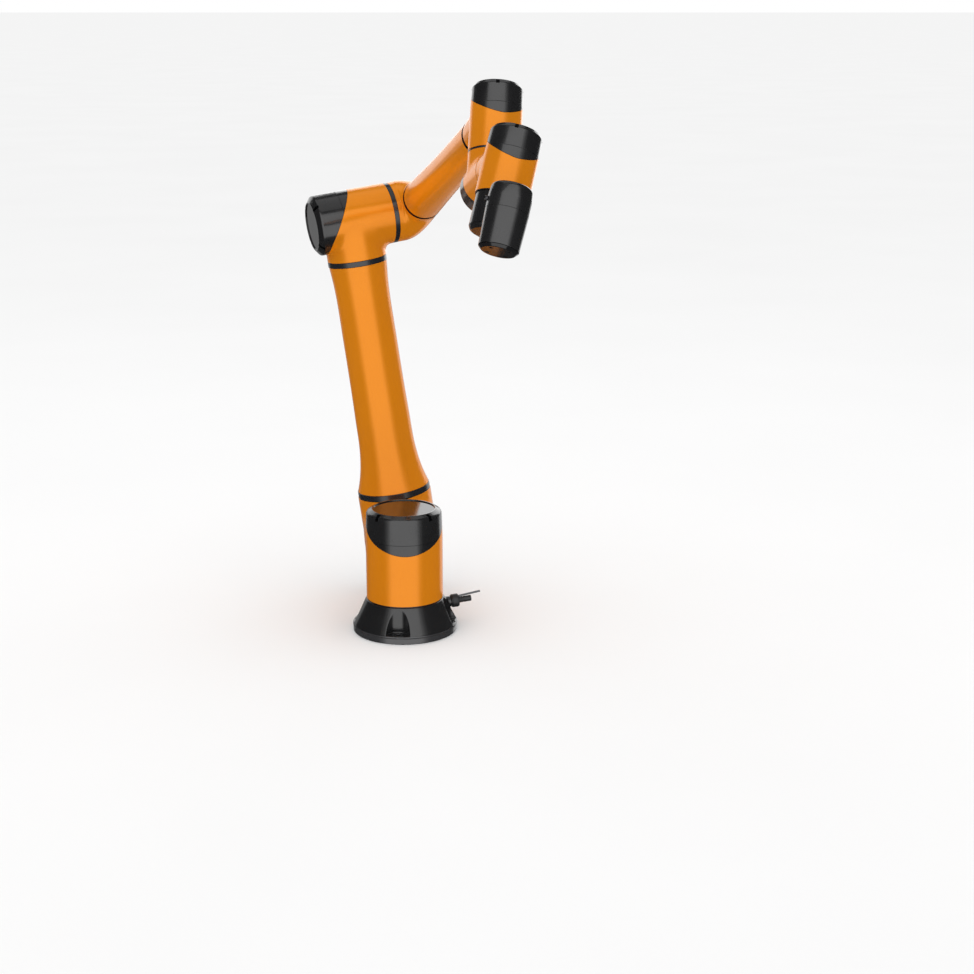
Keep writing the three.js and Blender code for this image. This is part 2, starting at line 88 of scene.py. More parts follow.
Zup = np.array([0.0, 0.0, 1.0])
a2 = unit([-0.0886, 0.9961, 0])
u = square([-0.1385, -0.0138, 0.9903], a2)
a3 = square([0.9355, 0.3270, 0.1350], u)
v = square([0.2650, -0.9007, 0.3446], a3)
a4 = square([0.0540, 0.3710, 0.9270], v)
a5 = square([0.2570, -0.9020, 0.3460], a4)
a6 = square([0.2210, 0.4030, 0.8880], a5)
th = HEAD_TURN * RAD
a7 = a5 * math.cos(th) + np.cross(a6, a5) * math.sin(th)
P1 = np.array([0.0, 0.0, SHOULDER_HEIGHT])
P2 = P1 + a2 * SHOULDER_OFFSET
P3 = P2 + u * UPPER_ARM_LENGTH
E = P3 + a3 * ELBOW_OFFSET
P4 = E + v * FOREARM_LENGTH
P5 = P4 - a4 * WRIST_1_DROP
P6 = P5 + a5 * WRIST_2_REACH
P7 = P6 - a6 * HEAD_DROP
P8 = P7 + a7 * HEAD_REACH
F0 = Frame([0, 0, 0], Zup, [1, 0, 0])
F1, F2, F3 = Frame(P1, Zup, a2), Frame(P2, a2, u), Frame(P3, -a3, -u)
F4, F5, F6 = Frame(P4, a4, -v), Frame(P5, -a5, a4), Frame(P6, a6, -a5)
F7, F8 = Frame(P7, a6, a7), Frame(P8, a6, a7)
U, FT = Frame(P2, u, a3), Frame(E, v, a3)
FB = Frame(P3, np.cross(a3, v), a3)            # bend plane: x = a3, y = v


# ------------------------------------------------------------------ mesh tools
class Mesh:
    """Triangles with a normal per point and a material number per triangle."""

    def __init__(self, V, N, T, M=None):
        self.V, self.N = np.asarray(V, float).reshape(-1, 3), np.asarray(N, float).reshape(-1, 3)
        self.T = np.asarray(T, int).reshape(-1, 3)
        self.M = np.zeros(len(self.T), int) if M is None else np.asarray(M, int)

    def join(self, other):
        k = len(self.V)
        return Mesh(np.vstack([self.V, other.V]), np.vstack([self.N, other.N]),
                    np.vstack([self.T, other.T + k]), np.concatenate([self.M, other.M]))

    def moved(self, fr):
        """The same mesh in the row frame, still in mm, as if built in frame fr."""
        return Mesh(self.V @ fr.R + fr.o, self.N @ fr.R, self.T, self.M)

    def compact(self):
        used = np.unique(self.T)
        back = np.full(len(self.V), -1)
        back[used] = np.arange(len(used))
        return Mesh(self.V[used], self.N[used], back[self.T], self.M), used


def gradient(f, P, e=0.02):
    g = np.empty_like(P)
    for i in range(3):
        d = np.zeros(3)
        d[i] = e
        g[:, i] = (f(P + d) - f(P - d)) / (2 * e)
    return g


def project(f, P, steps=3):
    for _ in range(steps):
        g = gradient(f, P)
        P = P - (f(P) / np.maximum((g * g).sum(1), 1e-6))[:, None] * g
    return P


def iso(f, lo, hi, h):
    """Zero surface of a distance field: surface nets, with every point then moved onto the surface."""
    h = h * FINE
    lo, hi = np.array(lo, float), np.array(hi, float)
    n = np.ceil((hi - lo) / h).astype(int) + 1
    ax = [lo[i] + h * np.arange(n[i]) for i in range(3)]
    D = np.empty(n)
    for i0 in range(0, n[0], 16):
        gx, gy, gz = np.meshgrid(ax[0][i0:i0 + 16], ax[1], ax[2], indexing="ij")
        D[i0:i0 + 16] = f(np.stack([gx.ravel(), gy.ravel(), gz.ravel()], 1)).reshape(gx.shape)
    S = D < 0
    m = n - 1
    total, count = np.zeros((*m, 3)), np.zeros(m)
    quads = []
    for a in range(3):
        b, c = (a + 1) % 3, (a + 2) % 3
        s0, s1 = [slice(None)] * 3, [slice(None)] * 3
        s0[a], s1[a] = slice(0, -1), slice(1, None)
        d0, d1 = D[tuple(s0)], D[tuple(s1)]
        cross = S[tuple(s0)] != S[tuple(s1)]
        t = np.where(cross, d0 / np.where(cross, d0 - d1, 1), 0)
        idx = np.indices(cross.shape).astype(float)
        idx[a] += t
        for ob in (0, 1):
            for oc in (0, 1):
                src, dst = [slice(None)] * 3, [slice(None)] * 3
                src[b] = slice(0, -1) if ob == 0 else slice(1, None)
                src[c] = slice(0, -1) if oc == 0 else slice(1, None)
                w = cross[tuple(src)]
                count += w
                for k in range(3):
                    total[..., k] += np.where(w, idx[k][tuple(src)], 0)
        inner = cross.copy()
        for q in (b, c):
            e0, e1 = [slice(None)] * 3, [slice(None)] * 3
            e0[q], e1[q] = 0, -1
            inner[tuple(e0)] = False
            inner[tuple(e1)] = False
        I = np.argwhere(inner)
        if len(I):
            flip = S[tuple(s0)][inner]
            eb, ec = np.zeros(3, int), np.zeros(3, int)
            eb[b], ec[c] = 1, 1
            quad = [I - eb - ec, I - ec, I, I - eb]
            key = np.stack([np.ravel_multi_index(q.T, m) for q in quad], 1)
            key[~flip] = key[~flip][:, ::-1]
            quads.append(key)
    quads = np.vstack(quads)
    cells = np.unique(quads)
    number = np.full(int(np.prod(m)), -1)
    number[cells] = np.arange(len(cells))
    P = (total.reshape(-1, 3)[cells] / count.ravel()[cells][:, None]) * h + lo
    P = project(f, P)
    g = gradient(f, P)
    N = g / np.linalg.norm(g, axis=1)[:, None]
    Q = number[quads]
    # shorter diagonal of each quad
    d0 = np.linalg.norm(P[Q[:, 0]] - P[Q[:, 2]], axis=1)
    d1 = np.linalg.norm(P[Q[:, 1]] - P[Q[:, 3]], axis=1)
    k = d0 <= d1
    T = np.vstack([Q[k][:, [0, 1, 2]], Q[k][:, [0, 2, 3]], Q[~k][:, [0, 1, 3]], Q[~k][:, [1, 2, 3]]])
    return Mesh(P, N, T)


def cut(mesh, g, f=None, snap=0.25):
    """Splits the triangles along g = 0. Returns the mesh, the sign of each point and the side of each triangle.
    f, if given, is the field whose surface the new points are put back on."""
    V, N, T, M = mesh.V.copy(), mesh.N.copy(), mesh.T, mesh.M
    s = g(V)
    near = np.abs(s) < snap
    if near.any():
        P = V[near]
        for _ in range(3):
            gg = gradient(g, P)
            n = N[near]
            gg = gg - (gg * n).sum(1)[:, None] * n
            P = P - (g(P) / np.maximum((gg * gg).sum(1), 1e-4))[:, None] * gg
            if f is not None:
                P = project(f, P, 1)
        V[near] = P
        if f is not None:
            q = gradient(f, P)
            N[near] = q / np.linalg.norm(q, axis=1)[:, None]
    sg = np.sign(s).astype(int)
    sg[near] = 0
    tri = sg[T]
    crossing = (tri.min(1) < 0) & (tri.max(1) > 0)
    C = T[crossing]
    edges = np.vstack([C[:, [0, 1]], C[:, [1, 2]], C[:, [2, 0]]])
    e = edges[(sg[edges[:, 0]] * sg[edges[:, 1]]) < 0]
    e = np.unique(np.sort(e, 1), axis=0)
    k0 = len(V)
    if len(e):
        t = (s[e[:, 0]] / (s[e[:, 0]] - s[e[:, 1]]))[:, None]
        P = V[e[:, 0]] * (1 - t) + V[e[:, 1]] * t
        n = N[e[:, 0]] * (1 - t) + N[e[:, 1]] * t
        if f is not None:
            for _ in range(2):
                P = project(f, P, 1)
                gg = gradient(g, P)
                q = gradient(f, P)
                q = q / np.linalg.norm(q, axis=1)[:, None]
                gg = gg - (gg * q).sum(1)[:, None] * q
                P = P - (g(P) / np.maximum((gg * gg).sum(1), 1e-4))[:, None] * gg
            P = project(f, P, 1)
            n = gradient(f, P)
        n = n / np.linalg.norm(n, axis=1)[:, None]
        V, N = np.vstack([V, P]), np.vstack([N, n])
        sg = np.concatenate([sg, np.zeros(len(P), int)])
    number = {(int(a), int(b)): k0 + i for i, (a, b) in enumerate(e)}
    new, newM = [], []
    for (a, b, c), m in zip(C.tolist(), M[crossing].tolist()):
        p = [a, b, c]
        z = [i for i in range(3) if sg[p[i]] == 0]
        if z:
            i = z[0]
            A, B, D = p[i], p[(i + 1) % 3], p[(i + 2) % 3]
            x = number[(min(B, D), max(B, D))]
            new += [(A, B, x), (A, x, D)]
            newM += [m, m]
        else:
            i = [i for i in range(3) if sg[p[i]] != sg[p[(i + 1) % 3]] and sg[p[i]] != sg[p[(i + 2) % 3]]][0]
            A, B, D = p[i], p[(i + 1) % 3], p[(i + 2) % 3]
            x, y = number[(min(A, B), max(A, B))], number[(min(A, D), max(A, D))]
            new += [(A, x, y), (x, B, D), (x, D, y)]
            newM += [m, m, m]
    T2 = np.vstack([T[~crossing], np.array(new, int).reshape(-1, 3)])
    M2 = np.concatenate([M[~crossing], np.array(newM, int)])
    side = np.sign(sg[T2].sum(1))
    return Mesh(V, N, T2, M2), sg, side


def lip(mesh, on, out, rho, depth, shade_index=1, steps=3, early=False):
    """Rounds the open edge through the points 'on' with radius rho and turns it in by depth.
    out is the direction across the edge, away from the mesh, at each point."""
    T = mesh.T
    E3 = np.vstack([T[:, [0, 1]], T[:, [1, 2]], T[:, [2, 0]]])
    E3 = E3[on[E3[:, 0]] & on[E3[:, 1]]]
    have = set(map(tuple, E3.tolist()))
    B = np.array([x for x in have if (x[1], x[0]) not in have], int).reshape(-1, 2)
    if not len(B):
        return mesh
    B = B[np.lexsort((B[:, 1], B[:, 0]))]
    ids = np.unique(B)
    back = np.full(len(mesh.V), -1)
    back[ids] = np.arange(len(ids))
    p, n = mesh.V[ids], mesh.N[ids]
    t = out[ids] - (out[ids] * n).sum(1)[:, None] * n
    t = t / np.maximum(np.linalg.norm(t, axis=1), 1e-9)[:, None]
    rows, norms, mats = [ids], [], []
    V, N, TT, MM = [mesh.V], [mesh.N], [mesh.T], [mesh.M]
    k = len(mesh.V)
    prev = ids
    stops = [(math.sin(a), 1 - math.cos(a), a) for a in np.linspace(0, math.pi / 2, steps + 1)[1:]]
    ring = []
    for sn, cs, a in stops:
        ring.append((p + rho * (sn * t - cs * n), math.cos(a) * n + math.sin(a) * t, shade_index if early else 0))
    # painted shade: the turned-in rows past rho + 0.5 deep, and all of them when early, take the near-black seam-shadow
    # material inside the seam
    if depth > rho:
        dark = rho + 0.5 if shade_index else depth
        ring.append((p + rho * t - min(dark, depth) * n, t, shade_index if early else 0))
        if depth > dark:
            ring.append((p + rho * t - depth * n, t, shade_index))
    for q, nn, m in ring:
        V.append(q)
        N.append(nn)
        cur = k + np.arange(len(ids))
        k += len(ids)
        a, b = back[B[:, 0]], back[B[:, 1]]
        TT += [np.stack([prev[b], prev[a], cur[a]], 1), np.stack([prev[b], cur[a], cur[b]], 1)]
        MM += [np.full(len(B), m), np.full(len(B), m)]
        prev = cur
    return Mesh(np.vstack(V), np.vstack(N), np.vstack(TT), np.concatenate(MM))


def clip(mesh, g, f=None, rho=0.5, depth=4, shade_index=1, snap=0.25, early=False):
    """Keeps the part where g < 0, ending in a rounded edge that reaches g = 0."""
    gg = lambda P: g(P) + rho
    m, sg, side = cut(mesh, gg, f, snap)
    kept = Mesh(m.V, m.N, m.T[side < 0], m.M[side < 0])
    kept, used = kept.compact()
    on = (sg == 0)[used]
    out = gradient(gg, kept.V)
    return lip(kept, on, out, rho, depth, shade_index, early=early) if rho > 0 else kept


def rounded(points, closed=True):
    """Corners (r, z, radius) to a list of strips of (r, z, nr, nz), on a closed outline or an open line.
    The outline runs so that its outside is on the right of the way round."""
    pts = [np.array(p[:2], float) for p in points]
    rad = [p[2] if len(p) > 2 else 0 for p in points]
    n = len(pts)
    strips, cur = [], []

    def normal(d):
        return np.array([d[1], -d[0]])

    order = range(n)
    for i in order:
        a, b, c = pts[i - 1], pts[i], pts[(i + 1) % n]
        if not closed and i in (0, n - 1):
            d = unit(c - b) if i == 0 else unit(b - a)
            cur.append((*b, *normal(d)))
            continue
        d0, d1 = unit(b - a), unit(c - b)
        ang = math.acos(max(-1, min(1, d0.dot(d1))))
        turn_ = d0[0] * d1[1] - d0[1] * d1[0]
        r = rad[i]
        if r <= 0 or ang < 1e-3:
            cur.append((*b, *normal(d0)))
            if ang >= 1e-3:
                strips.append(cur)
                cur = [(*b, *normal(d1))]
            continue
        cutlen = r * math.tan(ang / 2)
        cutlen = min(cutlen, 0.49 * np.linalg.norm(b - a), 0.49 * np.linalg.norm(c - b))
        r = cutlen / math.tan(ang / 2)
        s = b - d0 * cutlen
        sgn = 1 if turn_ > 0 else -1
        centre = s - normal(d0) * r * sgn
        steps = max(2, int(math.ceil(ang / (12 * RAD))))
        for k in range(steps + 1):
            w = ang * k / steps * sgn
            nn = normal(d0)
            q = np.array([nn[0] * math.cos(w) - nn[1] * math.sin(w), nn[0] * math.sin(w) + nn[1] * math.cos(w)])
            pt = centre + q * r * sgn
            cur.append((*pt, *q))
    if closed:
        if strips:
            strips[0] = cur + strips[0]
        else:
            cur.append(cur[0])
            strips.append(cur)
    else:
        strips.append(cur)
    return strips


def lathe(points, n=128, closed=True, mats=None, a0=0.0, most=None):
    """Solid of revolution about Z from (r, z, radius) corners. most: longest step along the outline."""
    V, N, T, M = [], [], [], []
    k = 0
    ang = a0 + np.arange(n) * 2 * math.pi / n
    c, s = np.cos(ang), np.sin(ang)
    for strip in rounded(points, closed):
        if most:
            fine = [strip[0]]
            for p, q in zip(strip[:-1], strip[1:]):
                L = math.hypot(q[0] - p[0], q[1] - p[1])
                w = max(1, int(math.ceil(L / most)))
                for j in range(1, w + 1):
                    x = np.array(p) + (np.array(q) - np.array(p)) * j / w
                    fine.append(tuple(x))
            strip = fine
        strip = [strip[0]] + [q for p, q in zip(strip[:-1], strip[1:]) if math.hypot(q[0] - p[0], q[1] - p[1]) > 1e-6]
        for r, z, nr, nz in strip:
            V.append(np.stack([r * c, r * s, np.full(n, z)], 1))
            N.append(np.stack([nr * c, nr * s, np.full(n, nz)], 1))
        i = np.arange(n)
        j = (i + 1) % n
        for w in range(len(strip) - 1):
            a, b = k + w * n, k + (w + 1) * n
            if strip[w][0] > 1e-6:
                T.append(np.stack([a + i, a + j, b + j], 1))
            if strip[w + 1][0] > 1e-6:
                T.append(np.stack([a + i, b + j, b + i], 1))
        k += len(strip) * n
    N = np.vstack(N)
    N = N / np.maximum(np.linalg.norm(N, axis=1), 1e-9)[:, None]
    return Mesh(np.vstack(V), N, np.vstack(T))


def piece(name, mesh, fr, mats, body, node=None):
    """A Blender object from a Mesh built in frame fr (mm), riding on a body and standing for a CAD node."""
    P = fr.points(mesh.V)
    N = fr.vectors(mesh.N)
    T = mesh.T
    me = bpy.data.meshes.new(name)
    me.vertices.add(len(P))
    me.vertices.foreach_set("co", P.astype(np.float32).ravel())
    me.loops.add(len(T) * 3)
    me.loops.foreach_set("vertex_index", T.astype(np.int32).ravel())
    me.polygons.add(len(T))
    me.polygons.foreach_set("loop_start", (np.arange(len(T)) * 3).astype(np.int32))
    me.polygons.foreach_set("loop_total", np.full(len(T), 3, np.int32))
    me.polygons.foreach_set("material_index", mesh.M.astype(np.int32))
    me.update(calc_edges=True)
    me.polygons.foreach_set("use_smooth", np.ones(len(T), bool))
    for m in mats:
        me.materials.append(m)
    me.normals_split_custom_set_from_vertices([tuple(x) for x in N.tolist()])
    ob = bpy.data.objects.new(name, me)
    bpy.context.scene.collection.objects.link(ob)
    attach(ob, body)
    if node:
        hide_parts(*([node] if isinstance(node, str) else node))
    return ob


# ------------------------------------------------------------------ materials
def new_material(name):
    m = bpy.data.materials.new(name)
    m.use_nodes = True
    nt = m.node_tree
    nt.nodes.clear()
    out = nt.nodes.new("ShaderNodeOutputMaterial")
    bsdf = nt.nodes.new("ShaderNodeBsdfPrincipled")
    nt.links.new(bsdf.outputs["BSDF"], out.inputs["Surface"])
    return m, nt, bsdf


def noise(nt, scale, detail=2.0, rough=0.5, coord=None, stretch=None):
    if coord is None:
        coord = nt.nodes.new("ShaderNodeTexCoord").outputs["Object"]
    if stretch:
        mp = nt.nodes.new("ShaderNodeMapping")
        mp.inputs["Scale"].default_value = stretch
        nt.links.new(coord, mp.inputs["Vector"])
        coord = mp.outputs["Vector"]
    n = nt.nodes.new("ShaderNodeTexNoise")
    n.inputs["Scale"].default_value = scale
    n.inputs["Detail"].default_value = detail
    n.inputs["Roughness"].default_value = rough
    nt.links.new(coord, n.inputs["Vector"])
    return n.outputs["Fac"]


def ramp(nt, fac, stops):
    r = nt.nodes.new("ShaderNodeValToRGB")
    e = r.color_ramp.elements
    e[0].position, e[0].color = stops[0][0], (*stops[0][1], 1)
    e[1].position, e[1].color = stops[-1][0], (*stops[-1][1], 1)
    for p, c in stops[1:-1]:
        k = e.new(p)
        k.color = (*c, 1)
    nt.links.new(fac, r.inputs["Fac"])
    return r.outputs["Color"]


def between(nt, fac, lo, hi, a=0.3, b=0.7):
    m = nt.nodes.new("ShaderNodeMapRange")
    m.inputs["From Min"].default_value, m.inputs["From Max"].default_value = a, b
    m.inputs["To Min"].default_value, m.inputs["To Max"].default_value = lo, hi
    nt.links.new(fac, m.inputs["Value"])
    return m.outputs["Result"]


def mix(nt, fac, a, b):
    m = nt.nodes.new("ShaderNodeMix")
    m.data_type = "RGBA"
    if isinstance(fac, (int, float)):
        m.inputs["Factor"].default_value = fac
    else:
        nt.links.new(fac, m.inputs["Factor"])
    for s, x in (("A", a), ("B", b)):
        sock = [i for i in m.inputs if i.name == s and i.type == "RGBA"][0]
        if isinstance(x, tuple):
            sock.default_value = (*x, 1)
        else:
            nt.links.new(x, sock)
    return [o for o in m.outputs if o.type == "RGBA"][0]


def bump(nt, bsdf, layers):
    prev = None
    for height, dist, strength in layers:
        b = nt.nodes.new("ShaderNodeBump")
        b.inputs["Distance"].default_value = dist
        b.inputs["Strength"].default_value = strength
        nt.links.new(height, b.inputs["Height"])
        if prev is not None:
            nt.links.new(prev, b.inputs["Normal"])
        prev = b.outputs["Normal"]
    nt.links.new(prev, bsdf.inputs["Normal"])


def edge_mask(nt, lo=0.51, hi=0.56):
    g = nt.nodes.new("ShaderNodeNewGeometry")
    return between(nt, g.outputs["Pointiness"], 0.0, 1.0, lo, hi)


def paint_material():
    m, nt, b = new_material("orange_paint_coat")
    broad = noise(nt, 5.0, 3.0)
    fine = noise(nt, 420.0, 2.0)
    peel = noise(nt, 260.0, 2.0)
    base = ramp(nt, broad, [(0.25, (0.800, 0.246, 0.0040)), (0.75, (0.850, 0.268, 0.0060))])
    fleck = ramp(nt, fine, [(0.35, (0.790, 0.240, 0.004)), (0.65, (0.870, 0.278, 0.006))])
    col = mix(nt, 0.2, base, fleck)
    nt.links.new(col, b.inputs["Base Color"])
    rough = between(nt, noise(nt, 24.0, 4.0, 0.6), 0.20, 0.26)
    nt.links.new(rough, b.inputs["Roughness"])
    b.inputs["Metallic"].default_value = 0.25
    b.inputs["IOR"].default_value = 1.35
    b.inputs["Coat Weight"].default_value = 0.1
    b.inputs["Coat Roughness"].default_value = 0.10
    b.inputs["Coat IOR"].default_value = 1.5
    bump(nt, b, [(peel, 0.00004, 0.10), (fine, 0.00001, 0.06)])
    return m


def black_material(name, lo, hi, r0, r1, coat=0.5, texture=0.12, grain=420.0, ior=1.55, flange=None):
    m, nt, b = new_material(name)
    base = ramp(nt, noise(nt, 9.0, 3.0), [(0.3, lo), (0.7, hi)])
    speck = noise(nt, grain, 2.0)
    col = mix(nt, between(nt, speck, 0.0, 0.3, 0.45, 0.75), base, tuple(x * 1.3 for x in hi))
    nt.links.new(col, b.inputs["Base Color"])
    nt.links.new(between(nt, noise(nt, 30.0, 4.0, 0.6), r0, r1), b.inputs["Roughness"])
    b.inputs["IOR"].default_value = ior
    b.inputs["Coat Weight"].default_value = coat
    b.inputs["Coat Roughness"].default_value = 0.06
    bump(nt, b, [(speck, 0.00002, texture), (noise(nt, 190.0, 2.0), 0.00004, 0.10)])
    if flange is not None:                     # lighter grey below the flange top, on the foot's rim
        pos = nt.nodes.new("ShaderNodeSeparateXYZ")
        nt.links.new(nt.nodes.new("ShaderNodeTexCoord").outputs["Object"], pos.inputs["Vector"])
        low = between(nt, pos.outputs["Z"], 1.0, 0.0, flange, flange + 0.0004)
        nt.links.new(mix(nt, low, col, tuple(x * 3.0 for x in hi)), b.inputs["Base Color"])
    return m


def metal_material(name, lo, hi, r0, r1, rings=900.0):
    m, nt, b = new_material(name)
    base = ramp(nt, noise(nt, 30.0, 4.0), [(0.3, lo), (0.7, hi)])
    nt.links.new(mix(nt, edge_mask(nt), base, tuple(min(1, x * 1.25) for x in hi)), b.inputs["Base Color"])
    b.inputs["Metallic"].default_value = 1.0
    nt.links.new(between(nt, noise(nt, 60.0, 5.0, 0.7), r0, r1), b.inputs["Roughness"])
    bump(nt, b, [(noise(nt, rings, 3.0, 0.6, stretch=(1, 1, 0.08)), 0.00003, 0.25)])
    return m


def board_material():
    m, nt, b = new_material("circuit_board_green")
    tex = nt.nodes.new("ShaderNodeTexBrick")
    tex.inputs["Scale"].default_value = 260.0
    tex.inputs["Color1"].default_value = (0.012, 0.105, 0.035, 1)
    tex.inputs["Color2"].default_value = (0.018, 0.140, 0.050, 1)
    tex.inputs["Mortar"].default_value = (0.035, 0.23, 0.085, 1)
    tex.inputs["Mortar Size"].default_value = 0.012
    nt.links.new(nt.nodes.new("ShaderNodeTexCoord").outputs["Object"], tex.inputs["Vector"])
    nt.links.new(mix(nt, between(nt, noise(nt, 200.0), 0, 0.25), tex.outputs["Color"], (0.03, 0.2, 0.08)), b.inputs["Base Color"])
    nt.links.new(between(nt, noise(nt, 90.0), 0.35, 0.5), b.inputs["Roughness"])
    bump(nt, b, [(tex.outputs["Fac"], 0.00005, 0.4)])
    return m


PAINT = paint_material()
GLOSS = black_material("cover_black", (0.0085, 0.0085, 0.0092), (0.0125, 0.0125, 0.0133), 0.20, 0.30, coat=0.55)
DISC = black_material("cover_disc_black", (0.007, 0.007, 0.0075), (0.010, 0.010, 0.011), 0.08, 0.12, coat=0.0, texture=0.02, ior=1.5)
BASEB = black_material("base_black_paint", (0.0085, 0.0085, 0.0092), (0.0125, 0.0125, 0.0133), 0.18, 0.26, coat=0.45, texture=0.12, flange=BASE_FLANGE_T / 1000 - 0.0006)
BAND = black_material("dark_band", (0.0100, 0.0125, 0.0165), (0.0150, 0.0185, 0.0240), 0.24, 0.33, coat=0.4)
MATTE = black_material("connector_black", (0.010, 0.010, 0.011), (0.017, 0.017, 0.018), 0.42, 0.60, coat=0.1, texture=0.35, grain=420.0)
# painted shade: near-black, unreflective material for the insides of seams, lips, notch pockets and the tool socket,
# standing in for the shade there
SEAM_SHADE = black_material("seam_shadow", (0.004, 0.004, 0.0045), (0.007, 0.007, 0.0075), 0.6, 0.8, coat=0.0, ior=1.12)
STEEL = metal_material("black_oxide_steel", (0.050, 0.050, 0.054), (0.095, 0.095, 0.100), 0.32, 0.46)
ROD = metal_material("rod_steel", (0.10, 0.10, 0.105), (0.15, 0.15, 0.155), 0.30, 0.42)
ALLOY = metal_material("turned_alloy", (0.50, 0.50, 0.51), (0.62, 0.62, 0.63), 0.25, 0.40)
DRIVE = metal_material("drive_alloy", (0.42, 0.42, 0.43), (0.56, 0.56, 0.57), 0.30, 0.48)
BOARD = board_material()

for name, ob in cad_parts.items():
    if "drive_unit" in name:
        mat = DRIVE
    elif "board" in name:
        mat = BOARD
    elif "output_flange" in name:
        mat = ALLOY
    else:
        continue
    if ob.data.materials:
        ob.material_slots[0].material = mat
    else:
        ob.data.materials.append(mat)


# ------------------------------------------------------------------ joint modules
def parting(m, phi):
    h = m["capOffset"] + m["climb"] * np.abs(np.cos(phi / 2)) ** m["bend"]
    top, k = 1.05 * m["R"], 0.2 * m["R"]
    d = np.maximum(0, k - np.abs(h - top))
    return np.minimum(h, top) - d * d / (4 * k)


def above_parting(m):
    """Distance over the black/orange line, along the surface."""
    def g(P):
        phi = np.arctan2(P[:, 1], P[:, 0])
        e = 1e-3
        slope = (parting(m, phi + e) - parting(m, phi - e)) / (2 * e) / m["R"]
        return (P[:, 2] - parting(m, phi)) / np.sqrt(1 + slope ** 2)
    return g


def cover_seam(m):
    return m["seam"]


def run_radius(m, z):
    zs = cover_seam(m)
    t = np.clip((z - zs) / (m["shoulder"] - zs), 0, 1.2)
    return m["R"] - (m["R"] - m["rShoulder"]) * t


def blend(a, b, d, r):
    """Union of two surfaces a and b whose normals meet with cosine d, with a round fillet of radius r."""
    p, q = a - r, b - r
    fil = r - np.sqrt(np.maximum(p * p + q * q - 2 * d * p * q, 0) / np.maximum(1 - d * d, 1e-5))
    return np.where((p <= d * q) & (q <= d * p), fil, np.minimum(a, b))


def housing_field(m, r0, r1, length, fil):
    def f(P):
        x, y, z = P[:, 0], P[:, 1], P[:, 2]
        rho = np.hypot(x, y)
        a = rho - run_radius(m, z)
        rb = np.hypot(y, z)
        b = rb - (r0 + (r1 - r0) * np.clip(x / length, -0.2, 1.2))
        b = np.where(x < 0, np.maximum(b, -x * 0.9), b)
        dot = np.clip(y * y / np.maximum(rho * rb, 1e-6), 0, 1)
        side = np.clip((z + 0.15 * m["R"]) / (0.75 * m["R"]), 0, 1)
        side = side * side * (3 - 2 * side)
        return blend(a, b, dot, (fil + (3.2 - fil) * side) + 50 * dot * dot * m["R"] / 59.5)
    return f


